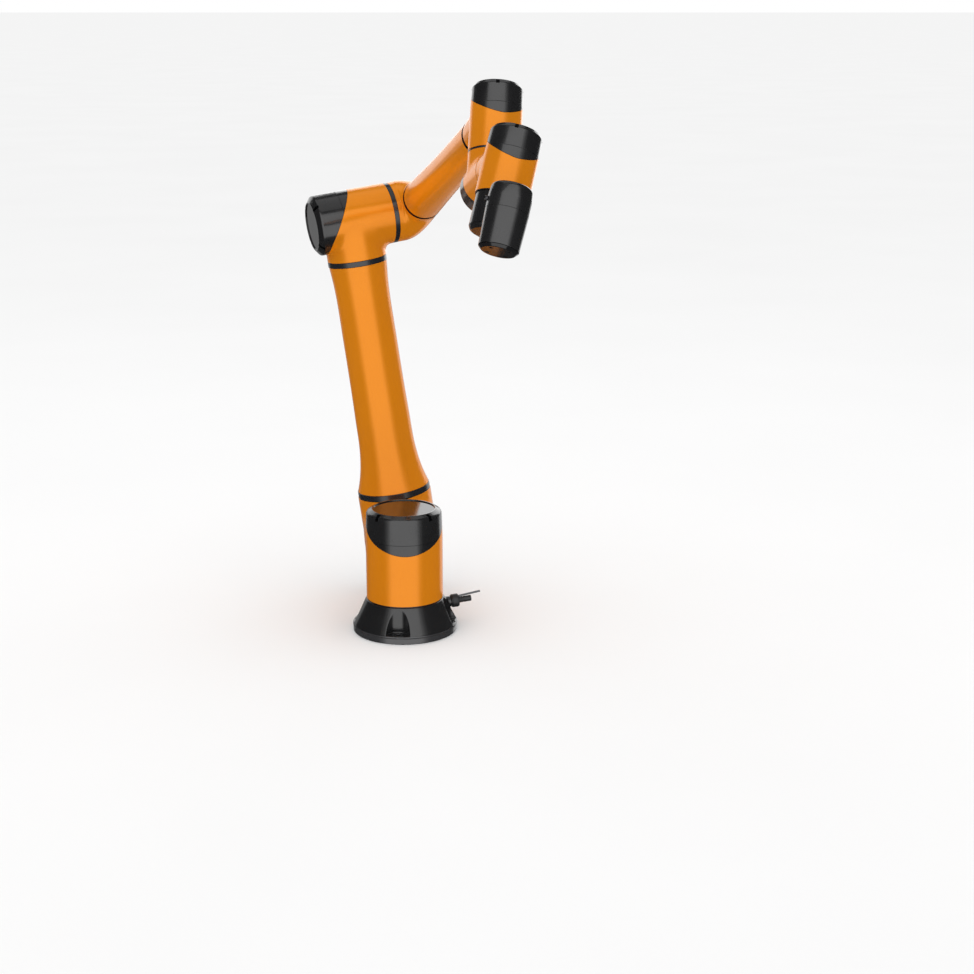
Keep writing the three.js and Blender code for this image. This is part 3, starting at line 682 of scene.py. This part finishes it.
def build_module(prefix, m, fr, body, branch, r0, r1, seam_rho=0.45, early=False):
    R, pad = m["R"], 3
    f = housing_field(m, r0, r1, branch, m["fil"])
    shell = iso(f, [-R - pad, -R - pad, -m["hOut"] - 5.0], [branch + 5.0, R + pad, 1.05 * R + 8], m["h"])
    up = above_parting(m)
    shell = clip(shell, lambda P: -m["hOut"] - P[:, 2], f, 0.5, m["wall"])
    shell = clip(shell, lambda P: P[:, 0] - branch, f, 1.2 if early else 0.6, m["wall"], early=early)
    shell = clip(shell, lambda P: up(P) + GAP / 2, f, seam_rho, 3.0)
    piece(prefix + "_housing_fine", shell, fr, [PAINT, SEAM_SHADE], body, prefix + "_housing")

    zs = cover_seam(m)
    # trim collar between the parting line and the cover seam
    zlo = parting(m, math.pi) - 2
    tube = lathe([(R, zlo - 4, 0), (R, zs + 4, 0)], n=220, closed=False, most=1.6)
    tube = clip(tube, lambda P: P[:, 2] - (zs - GAP / 2), lambda P: np.hypot(P[:, 0], P[:, 1]) - R, 0.35, 2.6)
    tube = clip(tube, lambda P: -up(P) + GAP / 2, lambda P: np.hypot(P[:, 0], P[:, 1]) - R, 0.35, 2.6)
    piece(prefix + "_collar_fine", tube, fr, [GLOSS, SEAM_SHADE], body, prefix + "_collar")

    # cover: gently tapered wall, soft shoulder, chamfer ring, sunk disc, four screw notches
    top, floor = m["hCap"], m["hCap"] - m["recess"]
    k = R / 75
    outline = [(run_radius(m, zs - 6), zs - 6, 0), (R, zs, 30), (m["rShoulder"], m["shoulder"], 7.5 * k), (m["rCap"], top, 1.6 * k),
               (m["rRecess"] + 0.2, top, 0.5), (m["rRecess"], floor, 0.5), (m["rRecess"] - 3.2 * k, floor, 0), (0, floor, 0)]
    strips = rounded(outline, closed=False)
    cover = lathe(outline, n=240, closed=False, most=2.4)
    cover.M = np.where(np.hypot(cover.V[cover.T].mean(1)[:, 0], cover.V[cover.T].mean(1)[:, 1]) < m["rRecess"] - 0.8, 2, 0)
    cover = clip(cover, lambda P: (zs + GAP / 2) - P[:, 2], None, 0.35, 2.6, snap=0.05)
    cover = clip(cover, lambda P: np.where(P[:, 2] < m["shoulder"], -up(P) + GAP / 2, -9.0), None, 0.35, 2.6, snap=0.05)
    half, rin, zf = 3.0 if R < 60 else 3.6, m["rRecess"] + (0.9 if R < 60 else 4.6), m["shoulder"] - (2.2 if R < 60 else 7.0)
    line = [p for s in strips for p in s]
    for q in range(4):
        w = (m["notch"] + 90 * q) * RAD
        d, t = np.array([math.cos(w), math.sin(w), 0]), np.array([-math.sin(w), math.cos(w), 0])
        gs = [lambda P, t=t: P @ t - half, lambda P, t=t: -(P @ t) - half, lambda P: zf - P[:, 2], lambda P, d=d: rin - P @ d]
        for g in gs:
            # only the neighbourhood of the notch is split
            near_ = lambda P, g=g, d=d, t=t: np.where((P @ d > rin - 4) & (np.abs(P @ t) < half + 4) & (P[:, 2] > zf - 4), g(P), 9.0)
            cover, _, _ = cut(cover, near_, None, 0.02)
        C = cover.V[cover.T].mean(1)
        inside = (C @ d > rin) & (np.abs(C @ t) < half) & (C[:, 2] > zf)
        cover = Mesh(cover.V, cover.N, cover.T[~inside], cover.M[~inside]).compact()[0]
        # pocket walls, floor and back, in material 1, the near-black seam-shadow one: painted shade inside the notch
        prof = [(r, z) for r, z, *_ in line if r >= rin * 0.98 and z > zf - 6]
        prof = [(math.sqrt(max(r * r - half * half, 0)), z) for r, z in prof]      # where the wall plane meets the surface
        pts = []
        for (ra, za), (rb, zb) in zip(prof[:-1], prof[1:]):
            for s_ in np.linspace(0, 1, 5)[:-1]:
                pts.append((ra + (rb - ra) * s_, za + (zb - za) * s_))
        pts.append(prof[-1])
        pts = [p for p in pts if p[1] >= zf and p[0] >= rin]
        if len(pts) > 1:
            for sgn in (-1, 1):
                corner = d * rin + t * half * sgn + np.array([0, 0, zf])
                W = [corner] + [d * r + t * half * sgn + np.array([0, 0, z]) for r, z in pts]
                W = [corner, d * pts[0][0] + t * half * sgn + np.array([0, 0, zf])] + W[1:] + [d * rin + t * half * sgn + np.array([0, 0, pts[-1][1]])]
                nn = np.tile(-t * sgn, (len(W), 1))
                F = [(0, i, i + 1) if sgn > 0 else (0, i + 1, i) for i in range(1, len(W) - 1)]
                cover = cover.join(Mesh(W, nn, F, np.ones(len(F), int)))
            ro = pts[0][0] + 0.4
            zt = pts[-1][1]
            A = [d * rin - t * half, d * ro - t * half, d * ro + t * half, d * rin + t * half]
            fl = Mesh([a + np.array([0, 0, zf]) for a in A], np.tile([0, 0, 1.0], (4, 1)), [(0, 1, 2), (0, 2, 3)], [1, 1])
            bk = Mesh([d * rin - t * half + np.array([0, 0, zf]), d * rin + t * half + np.array([0, 0, zf]),
                       d * rin + t * half + np.array([0, 0, zt]), d * rin - t * half + np.array([0, 0, zt])],
                      np.tile(d, (4, 1)), [(0, 1, 2), (0, 2, 3)], [1, 1])
            cover = cover.join(fl).join(bk)
    piece(prefix + "_cap_fine", cover, fr, [GLOSS, SEAM_SHADE, DISC], body, prefix + "_cap")


build_module("shoulder", BIG, F1, "shoulder", SHOULDER_OFFSET - BIG["hOut"] - 2 * GAP - SEAL["j2"], 74.5, 74.5)
build_module("upper_arm_lower", BIG, F2, "upper_arm", LOWER_RING[0] - GAP, 74.6, 74.6)
build_module("elbow", MID, F3, "upper_arm", UPPER_RING[0] - GAP, 58.5, 58.5)
build_module("wrist_1", WRIST, F4, "forearm", WRIST_BRANCH, 39, 34.2, early=True)
build_module("wrist_2", WRIST, F5, "wrist_1", WRIST_1_DROP - WRIST["hOut"] - 2 * GAP - SEAL["j4"], 43.6, 43.6)
build_module("wrist_3", WRIST, F6, "wrist_2", WRIST_2_REACH - WRIST["hOut"] - 2 * GAP - SEAL["j5"], 43.6, 43.6)


# ------------------------------------------------------------------ seals and rings
def ring(name, fr, r_in, r_out, z0, z1, body, node, rho=0.35, mat=BAND):
    r = min(rho, 0.35 * (z1 - z0))
    m = lathe([(r_in, z0, 0), (r_out, z0, r), (r_out, z1, r), (r_in, z1, 0)], n=160)
    piece(name, m, fr, [mat], body, node)


def seal(name, m, fr, s, proud, body):
    z1 = -m["hOut"] - GAP
    ring(name + "_fine", fr, m["R"] - m["wall"], m["R"] + proud, z1 - s, z1, body, name)


seal("j1_seal_ring", BIG, F1, SEAL["j1"], -1, "base")
seal("j2_seal_ring", BIG, F2, SEAL["j2"], -0.5, "shoulder")
seal("j3_seal_ring", MID, F3, SEAL["j3"], -0.3, "upper_arm")
seal("j4_seal_ring", WRIST, F4, SEAL["j4"], -0.5, "forearm")
seal("j5_seal_ring", WRIST, F5, SEAL["j5"], -0.5, "wrist_1")
seal("j6_seal_ring", WRIST, F6, SEAL["j6"], -0.5, "wrist_2")
ring("upper_arm_lower_ring_fine", U, 68.5, LOWER_RING[2], LOWER_RING[0], LOWER_RING[1], "upper_arm", "upper_arm_lower_ring", 0.8)
ring("upper_arm_upper_ring_fine", U, 53.6, UPPER_RING[2], UPPER_ARM_LENGTH - UPPER_RING[1], UPPER_ARM_LENGTH - UPPER_RING[0], "upper_arm", "upper_arm_upper_ring", 0.7)


# ------------------------------------------------------------------ arm tubes
def smooth_line(pts, n=140):
    """Monotone curve through (r, z) points, as the z values and the radii on them."""
    z = np.array([p[1] for p in pts], float)
    r = np.array([p[0] for p in pts], float)
    h, d = np.diff(z), np.diff(r) / np.diff(z)
    s = np.zeros(len(z))
    s[0], s[-1] = d[0], d[-1]
    for i in range(1, len(z) - 1):
        s[i] = 0 if d[i - 1] * d[i] <= 0 else (d[i - 1] * h[i] + d[i] * h[i - 1]) / (h[i - 1] + h[i])
    # even out the slopes, so that the surface shows no kinks
    zz = np.linspace(z[0], z[-1], n)
    out = []
    for q in zz:
        i = min(len(z) - 2, max(0, np.searchsorted(z, q, side="right") - 1))
        t = (q - z[i]) / h[i]
        h00, h10, h01, h11 = 2 * t ** 3 - 3 * t ** 2 + 1, t ** 3 - 2 * t ** 2 + t, -2 * t ** 3 + 3 * t ** 2, t ** 3 - t ** 2
        out.append(h00 * r[i] + h10 * h[i] * s[i] + h01 * r[i + 1] + h11 * h[i] * s[i + 1])
    return zz, np.array(out)


def tube(name, fr, pts, body, node, inner, n=160, rho=0.6, early=False):
    zz, rr = smooth_line(pts)
    for _ in range(6):
        rr[1:-1] = 0.25 * rr[:-2] + 0.5 * rr[1:-1] + 0.25 * rr[2:]
    slope = np.gradient(rr, zz)
    ang = np.arange(n) * 2 * math.pi / n
    c, s = np.cos(ang), np.sin(ang)
    L = np.sqrt(1 + slope ** 2)
    V = np.stack([np.outer(rr, c), np.outer(rr, s), np.repeat(zz[:, None], n, 1)], 2).reshape(-1, 3)
    N = np.stack([np.outer(1 / L, c), np.outer(1 / L, s), np.repeat((-slope / L)[:, None], n, 1)], 2).reshape(-1, 3)
    T = []
    i = np.arange(n)
    j = (i + 1) % n
    for w in range(len(zz) - 1):
        a, b = w * n, (w + 1) * n
        T += [np.stack([a + i, a + j, b + j], 1), np.stack([a + i, b + j, b + i], 1)]
    m = Mesh(V, N, np.vstack(T))
    if early:                                  # band of the near-black seam-shadow material, 8 mm wide, at both ends
        for z in (zz[0] + 8, zz[-1] - 8):
            m = cut(m, lambda P: P[:, 2] - z, None, 0.05)[0]
        C = m.V[m.T].mean(1)[:, 2]
        m.M = np.where((C < zz[0] + 8) | (C > zz[-1] - 8), 1, 0)
    m = clip(m, lambda P: P[:, 2] - zz[-1], None, rho, inner, snap=0.05, early=early)
    m = clip(m, lambda P: zz[0] - P[:, 2], None, rho, inner, snap=0.05, early=early)
    return piece(name, m, fr, [PAINT, SEAM_SHADE], body, node)


tube("upper_arm_tube_fine", U, [(72.8, LOWER_RING[1] + GAP), (67.2, 108), (61.4, 134), (57.2, 166), (55, 240), (53.5, 400), (54.8, 520),
     (57.6, UPPER_ARM_LENGTH - UPPER_RING[1] - GAP)], "upper_arm", "upper_arm_tube", 4)
tube("forearm_tube_fine", FT, [(39.9, FOREARM_START + GAP), (37.4, 165), (35.2, 260), (34.2, 400), (34.2, FOREARM_LENGTH - WRIST_BRANCH - GAP)],
     "forearm", "forearm_tube", 3.5, rho=1.2, early=True)


# ------------------------------------------------------------------ elbow casting
def elbow_casting():
    n, steps = 128, 90
    r0, r1, x0, x1 = 59.0, 40.0, MID["hOut"] + 2 * GAP + SEAL["j3"], 92.0
    rings = []

    def put(px, py, qx, qy):
        rings.append(((px + qx) / 2, (py + qy) / 2, (qx - px) / 2, (qy - py) / 2))

    for k in range(6):
        x = x0 + (x1 - x0) * k / 6
        put(x, -r0, x, r0)
    for k in range(steps):
        t = (k / (steps - 1)) * math.pi / 2
        e = 0.86
        s, c = math.sin(t) ** e, math.cos(t) ** e if math.cos(t) > 1e-9 else 0.0
        put(x1 + (ELBOW_OFFSET + r1 - x1) * s, 62 - (62 + r0) * c,
            x1 + (ELBOW_OFFSET - r1 - x1) * (1 - math.cos(t)), r0 + (62 - r0) * math.sin(t))
    for k in range(1, 5):
        y = 62 + (FOREARM_START - 62) * k / 4
        put(ELBOW_OFFSET + r1, y, ELBOW_OFFSET - r1, y)
    R_ = np.array(rings)
    for _ in range(10):                        # take the kinks out of the sweep
        R_[1:-1] = 0.25 * R_[:-2] + 0.5 * R_[1:-1] + 0.25 * R_[2:]
    ang = np.arange(n) * 2 * math.pi / n
    c, s = np.cos(ang), np.sin(ang)
    V = []
    for cx, cy, dx, dy in R_:
        r = math.hypot(dx, dy)
        V.append(np.stack([cx + dx * c, cy + dy * c, r * s], 1))
    V = np.array(V)
    k = len(V)
    du = np.roll(V, -1, 1) - np.roll(V, 1, 1)
    dw = np.empty_like(V)
    dw[1:-1] = V[2:] - V[:-2]
    dw[0], dw[-1] = V[1] - V[0], V[-1] - V[-2]
    N = np.cross(du, dw)
    N /= np.maximum(np.linalg.norm(N, axis=2), 1e-9)[..., None]
    centre = np.stack([R_[:, 0], R_[:, 1], np.zeros(k)], 1)[:, None, :]
    if ((V - centre) * N).sum() < 0:
        N = -N
    i = np.arange(n)
    j = (i + 1) % n
    T = []
    for w in range(k - 1):
        a, b = w * n, (w + 1) * n
        T += [np.stack([a + i, a + j, b + j], 1), np.stack([a + i, b + j, b + i], 1)]
    T = np.vstack(T)
    V, N = V.reshape(-1, 3), N.reshape(-1, 3)
    fn = np.cross(V[T[:, 1]] - V[T[:, 0]], V[T[:, 2]] - V[T[:, 0]])
    if (fn * N[T[:, 0]]).sum() < 0:
        T = T[:, ::-1]
    m = Mesh(V, N, T)
    m = clip(m, lambda P: x0 - P[:, 0] - np.where(P[:, 1] > 60, 50, 0), None, 0.6, 4.5, snap=0.05)
    m = clip(m, lambda P: P[:, 1] - FOREARM_START, None, 1.2, 4.5, snap=0.05, early=True)
    piece("forearm_elbow_casting_fine", m, FB, [PAINT, SEAM_SHADE], "forearm", "forearm_elbow_casting")


elbow_casting()


# ------------------------------------------------------------------ base
def smax(a, b, k):
    return np.minimum(-k, np.maximum(a, b)) + np.hypot(np.maximum(a + k, 0), np.maximum(b + k, 0))


def smin(a, b, k):
    return -smax(-a, -b, k)


def base_field(P):
    x, y, z = P[:, 0], P[:, 1], P[:, 2]
    rho = np.hypot(x, y)
    slope = (BASE_R - 0.5 - BASE_TOP_R) / (BASE_TOP_Z - BASE_FLANGE_T)
    L = math.sqrt(1 + slope ** 2)
    flange = smax(rho - BASE_R, z - BASE_FLANGE_T, 1.2)
    cone = smax((rho - (BASE_R - 0.5 - slope * (z - BASE_FLANGE_T))) / L, z - BASE_TOP_Z, 1.2)
    cone = np.maximum(cone, BASE_FLANGE_T - 3 - z)
    body = smin(flange, cone, 0.8)
    # boss for the side connector
    c, s = math.cos(PLUG_TURN * RAD), math.sin(PLUG_TURN * RAD)
    ct, st = math.cos(PLUG_TILT * RAD), math.sin(PLUG_TILT * RAD)
    xh, yl, zh = x * c + y * s, -x * s + y * c, z - PLUG_Z
    xl, zl = xh * ct + zh * st, -xh * st + zh * ct
    boss = smax(np.hypot(yl, zl) - (13 - 3 * np.clip((xl - 60) / 33, 0, 1)), np.maximum(xl - 93, 55 - xl), 1.0)
    body = smin(body, boss, 3.0)
    for k in range(4):
        w = (-90 + POCKET_ANGLE + 90 * k) * RAD
        px, py = POCKET_CENTRE * math.cos(w), POCKET_CENTRE * math.sin(w)
        d = np.hypot(x - px, y - py) - POCKET_R
        pocket = smax(d, BASE_FLANGE_T + 0.2 - z, 1.5)
        body = smax(body, -pocket, 0.9)
        bx, by = BOLT_CIRCLE_R * math.cos(w), BOLT_CIRCLE_R * math.sin(w)
        rb = np.hypot(x - bx, y - by)
        body = smax(body, -(rb - 6.5), 0.4)
        body = smax(body, -np.maximum(rb - BOLT_HEAD_R - 1, BOLT_SEAT - z), 0.4)
    bore = np.maximum(rho - BASE_BORE_R, z - (BASE_TOP_Z - BASE_TOP_PLATE_T))
    body = smax(body, -bore, 0.6)
    body = smax(body, -(rho - BASE_CABLE_R), 0.6)
    return smax(body, -z, 0.6)


base = iso(base_field, [-104.5, -104.5, -2.5], [104.5, 104.5, 67.5], 1.25)
piece("base_casting_fine", base, F0, [BASEB], "base", "base_casting")


def screw(cx, cy, n=96):
    V, N, T = [], [], []
    ang = np.arange(n) * 2 * math.pi / n
    knurl = BOLT_HEAD_R - 0.22 * (np.arange(n) % 2)
    hexr = 4.3 / np.cos((ang + math.pi / 6) % (math.pi / 3) - math.pi / 6)
    z0 = BOLT_SEAT + GAP
    z1 = z0 + BOLT_HEAD_H
    rows = [(np.full(n, 6.0), 1.0), (np.full(n, 6.0), z0), (knurl - 0.2, z0), (knurl, z0 + 0.3), (knurl, z1 - 1.0), (np.full(n, BOLT_HEAD_R - 0.5), z1 - 0.25), (np.full(n, BOLT_HEAD_R - 0.9), z1),
            (hexr + 0.6, z1), (hexr, z1 - 0.6), (hexr, z0 + 4.2), (np.full(n, 0.01), z0 + 3.4)]
    for r, z in rows:
        V.append(np.stack([cx + r * np.cos(ang), cy + r * np.sin(ang), np.full(n, z)], 1))
    V = np.array(V)
    tris, pts = [], []
    k = 0
    nor = []
    i = np.arange(n)
    j = (i + 1) % n
    for w in range(len(rows) - 1):             # every band has its own points, so its edges stay crisp
        A, B = V[w], V[w + 1]
        pts += [A, B]
        d = (B - A).mean(0)
        dr = (np.hypot(B[:, 0] - cx, B[:, 1] - cy) - np.hypot(A[:, 0] - cx, A[:, 1] - cy)).mean()
        dz = B[0, 2] - A[0, 2]
        L = math.hypot(dr, dz)
        nr, nz = dz / L, -dr / L
        q = np.stack([nr * np.cos(ang), nr * np.sin(ang), np.full(n, nz)], 1)
        nor += [q, q]
        tris += [np.stack([k + i, k + j, k + n + j], 1), np.stack([k + i, k + n + j, k + n + i], 1)]
        k += 2 * n
    return Mesh(np.vstack(pts), np.vstack(nor), np.vstack(tris))


for k in range(4):
    w = (-90 + POCKET_ANGLE + 90 * k) * RAD
    piece(f"base_bolt_{k + 1}_fine", screw(BOLT_CIRCLE_R * math.cos(w), BOLT_CIRCLE_R * math.sin(w)), F0, [STEEL], "base", f"base_bolt_{k + 1}")

# side connector: ribbed coupling nut, barrel with grooves, and the slim rod above it
def plug_dir(tilt):
    return np.array([math.cos(tilt * RAD) * math.cos(PLUG_TURN * RAD), math.cos(tilt * RAD) * math.sin(PLUG_TURN * RAD), math.sin(tilt * RAD)])


FC = Frame([0, 0, PLUG_Z], plug_dir(PLUG_TILT), [0, 0, 1])
conn = lathe([(0, 93.3, 0), (12, 93.3, 0.5), (12.2, 94.6, 0.3), (13.2, 95.4, 0.4), (13.2, 106.2, 0.4), (12.2, 107.0, 0.3), (12, 108.3, 0.5), (6, 108.3, 0.4),
              (6, 112, 0.2), (5.5, 112.4, 0.2), (5.5, 113.4, 0.2), (6, 113.8, 0.2), (6, 117, 0.2), (5.5, 117.4, 0.2), (5.5, 118.4, 0.2), (6, 118.8, 0.2),
              (6, 133, 0.6), (5.2, 134, 0.3), (3.6, 134, 0.3), (3.6, 127, 0.2), (0, 127, 0)], n=144, closed=False)
rr = np.hypot(conn.V[:, 0], conn.V[:, 1])
an = np.arctan2(conn.V[:, 1], conn.V[:, 0])
rib = (rr > 12.9) & (conn.V[:, 2] > 95) & (conn.V[:, 2] < 106.6)
factor = np.where(rib, 1 - 0.045 * (0.5 + 0.5 * np.cos(an * 18)) ** 2, 1)
conn.V[:, 0] *= factor
conn.V[:, 1] *= factor
piece("connector_body_fine", conn, FC, [MATTE], "base", "connector_body")


def rod():
    def f(P):
        q = np.abs(P - np.array([22.5, 0, 0])) - np.array([22.5 - 1.0, 0.8, 0.8])
        return np.linalg.norm(np.maximum(q, 0), axis=1) + np.minimum(q.max(1), 0) - 1.0
    return iso(f, [-1.5, -3.5, -3.5], [46.5, 3.5, 3.5], 0.45)


FL = Frame(FC.o + FC.z * 108.8 + FC.x * 8.2, np.cross(plug_dir(PLUG_TILT + 4), [-math.sin(PLUG_TURN * RAD), math.cos(PLUG_TURN * RAD), 0]), plug_dir(PLUG_TILT + 4))
piece("connector_lever_fine", rod(), FL, [ROD], "base", "connector_lever")


# ------------------------------------------------------------------ end head
BRACKET_TOP = HEAD_DROP - WRIST["hOut"] - 2 * GAP - SEAL["j6"]


def bracket_field(P):
    x, y, z = P[:, 0], P[:, 1], P[:, 2]
    a = np.hypot(x, y) - 41.5
    b = np.maximum(np.hypot(y, z) - 18, -x)
    rho, rb = np.hypot(x, y), np.hypot(y, z)
    dot = np.clip(y * y / np.maximum(rho * rb, 1e-6), 0, 1)
    k = 4.0 * (1 - dot) + 1e-3
    return np.maximum(k, np.minimum(a, b)) - np.hypot(np.maximum(k - a, 0), np.maximum(k - b, 0))


br = iso(bracket_field, [-44, -44, -28.0], [49.5, 44, BRACKET_TOP + 3.5], 1.5)
br = clip(br, lambda P: P[:, 2] - BRACKET_TOP, bracket_field, 0.5, 3.4)
br = clip(br, lambda P: -24.5 - P[:, 2], bracket_field, 0.35, 3.4)
br = clip(br, lambda P: P[:, 0] - 46, bracket_field, 0.4, 2.8)
piece("head_bracket_fine", br, F7, [GLOSS, SEAM_SHADE], "end_head", "head_bracket")
cov = lathe([(0, -31.5, 0), (34.5, -31.5, 2.2), (38.9, -29.6, 2.6), (41.3, -24.5 - GAP, 0.4), (36.5, -24.5 - GAP, 0)], n=160, closed=False)
cov.M = np.where(np.hypot(cov.V[cov.T].mean(1)[:, 0], cov.V[cov.T].mean(1)[:, 1]) < 33.2, 1, 0)
piece("head_bracket_cover_fine", cov, F7, [GLOSS, DISC], "end_head", "head_bracket_cover")

HEAD_SEAM, HEAD_END = -17, -77
STUB_X = -(HEAD_REACH - 46 - GAP)


def revolve_field(corners, k):
    """Distance to a convex solid of revolution bounded by (r, z) to (r, z) lines, with rounded corners."""
    lines = []
    for (r0, z0), (r1, z1) in zip(corners[:-1], corners[1:]):
        d = unit([r1 - r0, z1 - z0])
        lines.append((np.array([r0, z0]), np.array([d[1], -d[0]])))

    def f(P):
        r, z = np.hypot(P[:, 0], P[:, 1]), P[:, 2]
        out = None
        for o, n in lines:
            e = (r - o[0]) * n[0] + (z - o[1]) * n[1]
            out = e if out is None else smax(out, e, k)
        return out
    return f


head_body = revolve_field([(35, -40), (35, 17), (33.4, 23.4), (26, 27.2), (0, 27.2)], 3.2)


def head_field(P):
    x, y, z = P[:, 0], P[:, 1], P[:, 2]
    a = head_body(P)
    b = np.maximum(np.hypot(y, z) - 18, x)
    k = 2.2
    return smin(a, b, k) if k else np.minimum(a, b)


hu = iso(head_field, [STUB_X - 4, -38, -22.5], [38, 38, 30], 1.35)
in_stub = lambda P: (P[:, 0] < -29.5) & (np.hypot(P[:, 1], P[:, 2]) < 19.5)
hu = clip(hu, lambda P: STUB_X - P[:, 0], head_field, 0.4, 2.8)
hu = clip(hu, lambda P: np.where(in_stub(P), -9.0, (HEAD_SEAM + GAP / 2) - P[:, 2]), head_field, 0.3, 2.8)
piece("head_upper_shell_fine", hu, F8, [GLOSS, SEAM_SHADE], "end_head", "head_upper_shell")

low_f = lambda P: np.hypot(P[:, 0], P[:, 1]) - (35 + (P[:, 2] - HEAD_SEAM) * (35 - 32.7) / (HEAD_SEAM - HEAD_END))
lo_tube = lathe([(32.7 - 0.14, HEAD_END - 4, 0), (35.1, HEAD_SEAM + 3, 0)], n=180, closed=False, most=2.0)
lo_tube = clip(lo_tube, lambda P: P[:, 2] - (HEAD_SEAM - GAP / 2), low_f, 0.3, 2.6)
lo_tube = clip(lo_tube, lambda P: HEAD_END - P[:, 2], low_f, 0.4, 2.6)
lo_tube = clip(lo_tube, lambda P: np.where(P[:, 0] < 0, 18.5 - np.hypot(P[:, 1], P[:, 2]), -9.0), None, 0.25, 2.0, snap=0.1)
piece("head_lower_shell_fine", lo_tube, F8, [GLOSS, SEAM_SHADE], "end_head", "head_lower_shell")


def plate_field(P):
    x, y, z = P[:, 0], P[:, 1], P[:, 2]
    r = np.hypot(x, y)
    f0 = HEAD_END - 5.2
    d = unit([32.4 - 27.5, 4.9])
    cone = (r - 27.5) * d[1] - (z - f0) * d[0]
    body = smax(smax(cone, f0 - z, 0.6), z - (HEAD_END - GAP), 0.3)
    body = np.maximum(body, r - 32.4)
    for q in range(4):
        t = (45 + 90 * q) * RAD
        body = smax(body, -(np.hypot(x - 20 * math.cos(t), y - 20 * math.sin(t)) - 3), 0.4)
    return body


pl = iso(plate_field, [-33.6, -33.6, HEAD_END - 6.4], [33.6, 33.6, HEAD_END + 0.9], 0.62)
piece("head_tool_plate_fine", pl, F8, [DISC], "end_head", "head_tool_plate")

FS = Frame(P8 - F8.y * (35 + GAP) - F8.z * 2.6, -F8.y, F8.x)
so = lathe([(0, 0, 0), (4, 0, 0.2), (4, 3.6, 0.5), (2.6, 3.6, 0.4), (2.6, 1.2, 0.2), (0, 1.2, 0)], n=64, closed=False)
# painted shade: the socket's inside, below r = 2.7, takes the seam-shadow material
so.M = np.where(np.hypot(so.V[so.T].mean(1)[:, 0], so.V[so.T].mean(1)[:, 1]) < 2.7, 1, 0)
piece("tool_io_socket_fine", so, FS, [STEEL, SEAM_SHADE], "end_head", "tool_io_socket")


# ------------------------------------------------------------------ stage, lights, camera
def floor_material():
    m, nt, b = new_material("studio_floor")
    nt.links.new(ramp(nt, noise(nt, 1.2, 3.0), [(0.3, (0.900, 0.900, 0.900)), (0.7, (0.915, 0.915, 0.915))]), b.inputs["Base Color"])
    nt.links.new(between(nt, noise(nt, 6.0, 3.0), 0.85, 0.95), b.inputs["Roughness"])
    b.inputs["Specular IOR Level"].default_value = 0.0
    bump(nt, b, [(noise(nt, 300.0, 2.0), 0.00002, 0.1)])
    return m


me = bpy.data.meshes.new("floor")
me.from_pydata([(-90, -30, -0.0005), (90, -30, -0.0005), (90, 190, -0.0005), (-90, 190, -0.0005)], [], [(0, 1, 2, 3)])
me.materials.append(floor_material())
floor = bpy.data.objects.new("floor", me)
bpy.context.scene.collection.objects.link(floor)
floor.visible_glossy = False

world = bpy.data.worlds.new("studio")
bpy.context.scene.world = world
world.use_nodes = True
wn = world.node_tree
bg = wn.nodes["Background"]
bg.inputs["Color"].default_value = (1.0, 1.0, 1.0, 1)
path = wn.nodes.new("ShaderNodeLightPath")
level = wn.nodes.new("ShaderNodeMapRange")
level.inputs["To Min"].default_value, level.inputs["To Max"].default_value = 1.0, 0.035
wn.links.new(path.outputs["Is Glossy Ray"], level.inputs["Value"])
wn.links.new(level.outputs["Result"], bg.inputs["Strength"])


def panel(name, centre, look, w, h, radiance, diffuse=True, glossy=True):
    L = bpy.data.lights.new(name, "AREA")
    L.shape = "RECTANGLE"
    L.size, L.size_y = w, h
    L.energy = radiance * w * h * math.pi
    ob = bpy.data.objects.new(name, L)
    bpy.context.scene.collection.objects.link(ob)
    c, t = Vector(centre), Vector(look)
    ob.location = c
    ob.rotation_euler = (t - c).to_track_quat("-Z", "Y").to_euler()
    ob.visible_camera = False
    ob.visible_diffuse = diffuse
    ob.visible_glossy = glossy
    return ob


panel("front_wall", (0.05, -1.75, 1.0), (0.05, 0.0, 1.0), 3.1, 4.3, 0.70, diffuse=False)
panel("front_mid", (0.05, -1.80, 1.0), (0.05, 0.0, 1.0), 4.0, 4.3, 0.44, diffuse=False)
panel("front_wide", (0.05, -1.85, 1.0), (0.05, 0.0, 1.0), 5.4, 4.3, 0.26, diffuse=False)
panel("top", (0.0, 0.2, 3.6), (0.0, 0.0, 0.0), 3.2, 3.2, 0.5)
panel("back", (0.95, 2.6, 1.5), (0.95, 0.0, 1.5), 2.9, 2.2, 1.8, diffuse=False)
panel("back_left", (-1.6, 2.6, 1.45), (-1.6, 0.0, 1.45), 2.1, 1.8, 1.0, diffuse=False)
panel("back_left_low", (-1.6, 2.6, 0.15), (-1.6, 0.0, 0.15), 2.1, 0.8, 0.35, diffuse=False)
panel("back_low_right", (1.5, 2.6, -0.5), (1.5, 0.0, -0.5), 2.2, 1.75, 0.8, diffuse=False)
panel("back_low_left", (-0.7, 2.6, -0.7), (-0.7, 0.0, -0.7), 2.1, 1.5, 0.22, diffuse=False)

cam = bpy.data.cameras.new("camera")
cam.sensor_width = 36
cam.lens = 67.12
cam.clip_end = 200
camera = bpy.data.objects.new("camera", cam)
camera.location = (0.16158, -3.39821, 1.19754)
camera.rotation_euler = (75 * RAD, 0, 0)
bpy.context.scene.collection.objects.link(camera)
bpy.context.scene.camera = camera
bpy.context.scene.view_settings.view_transform = "Standard"
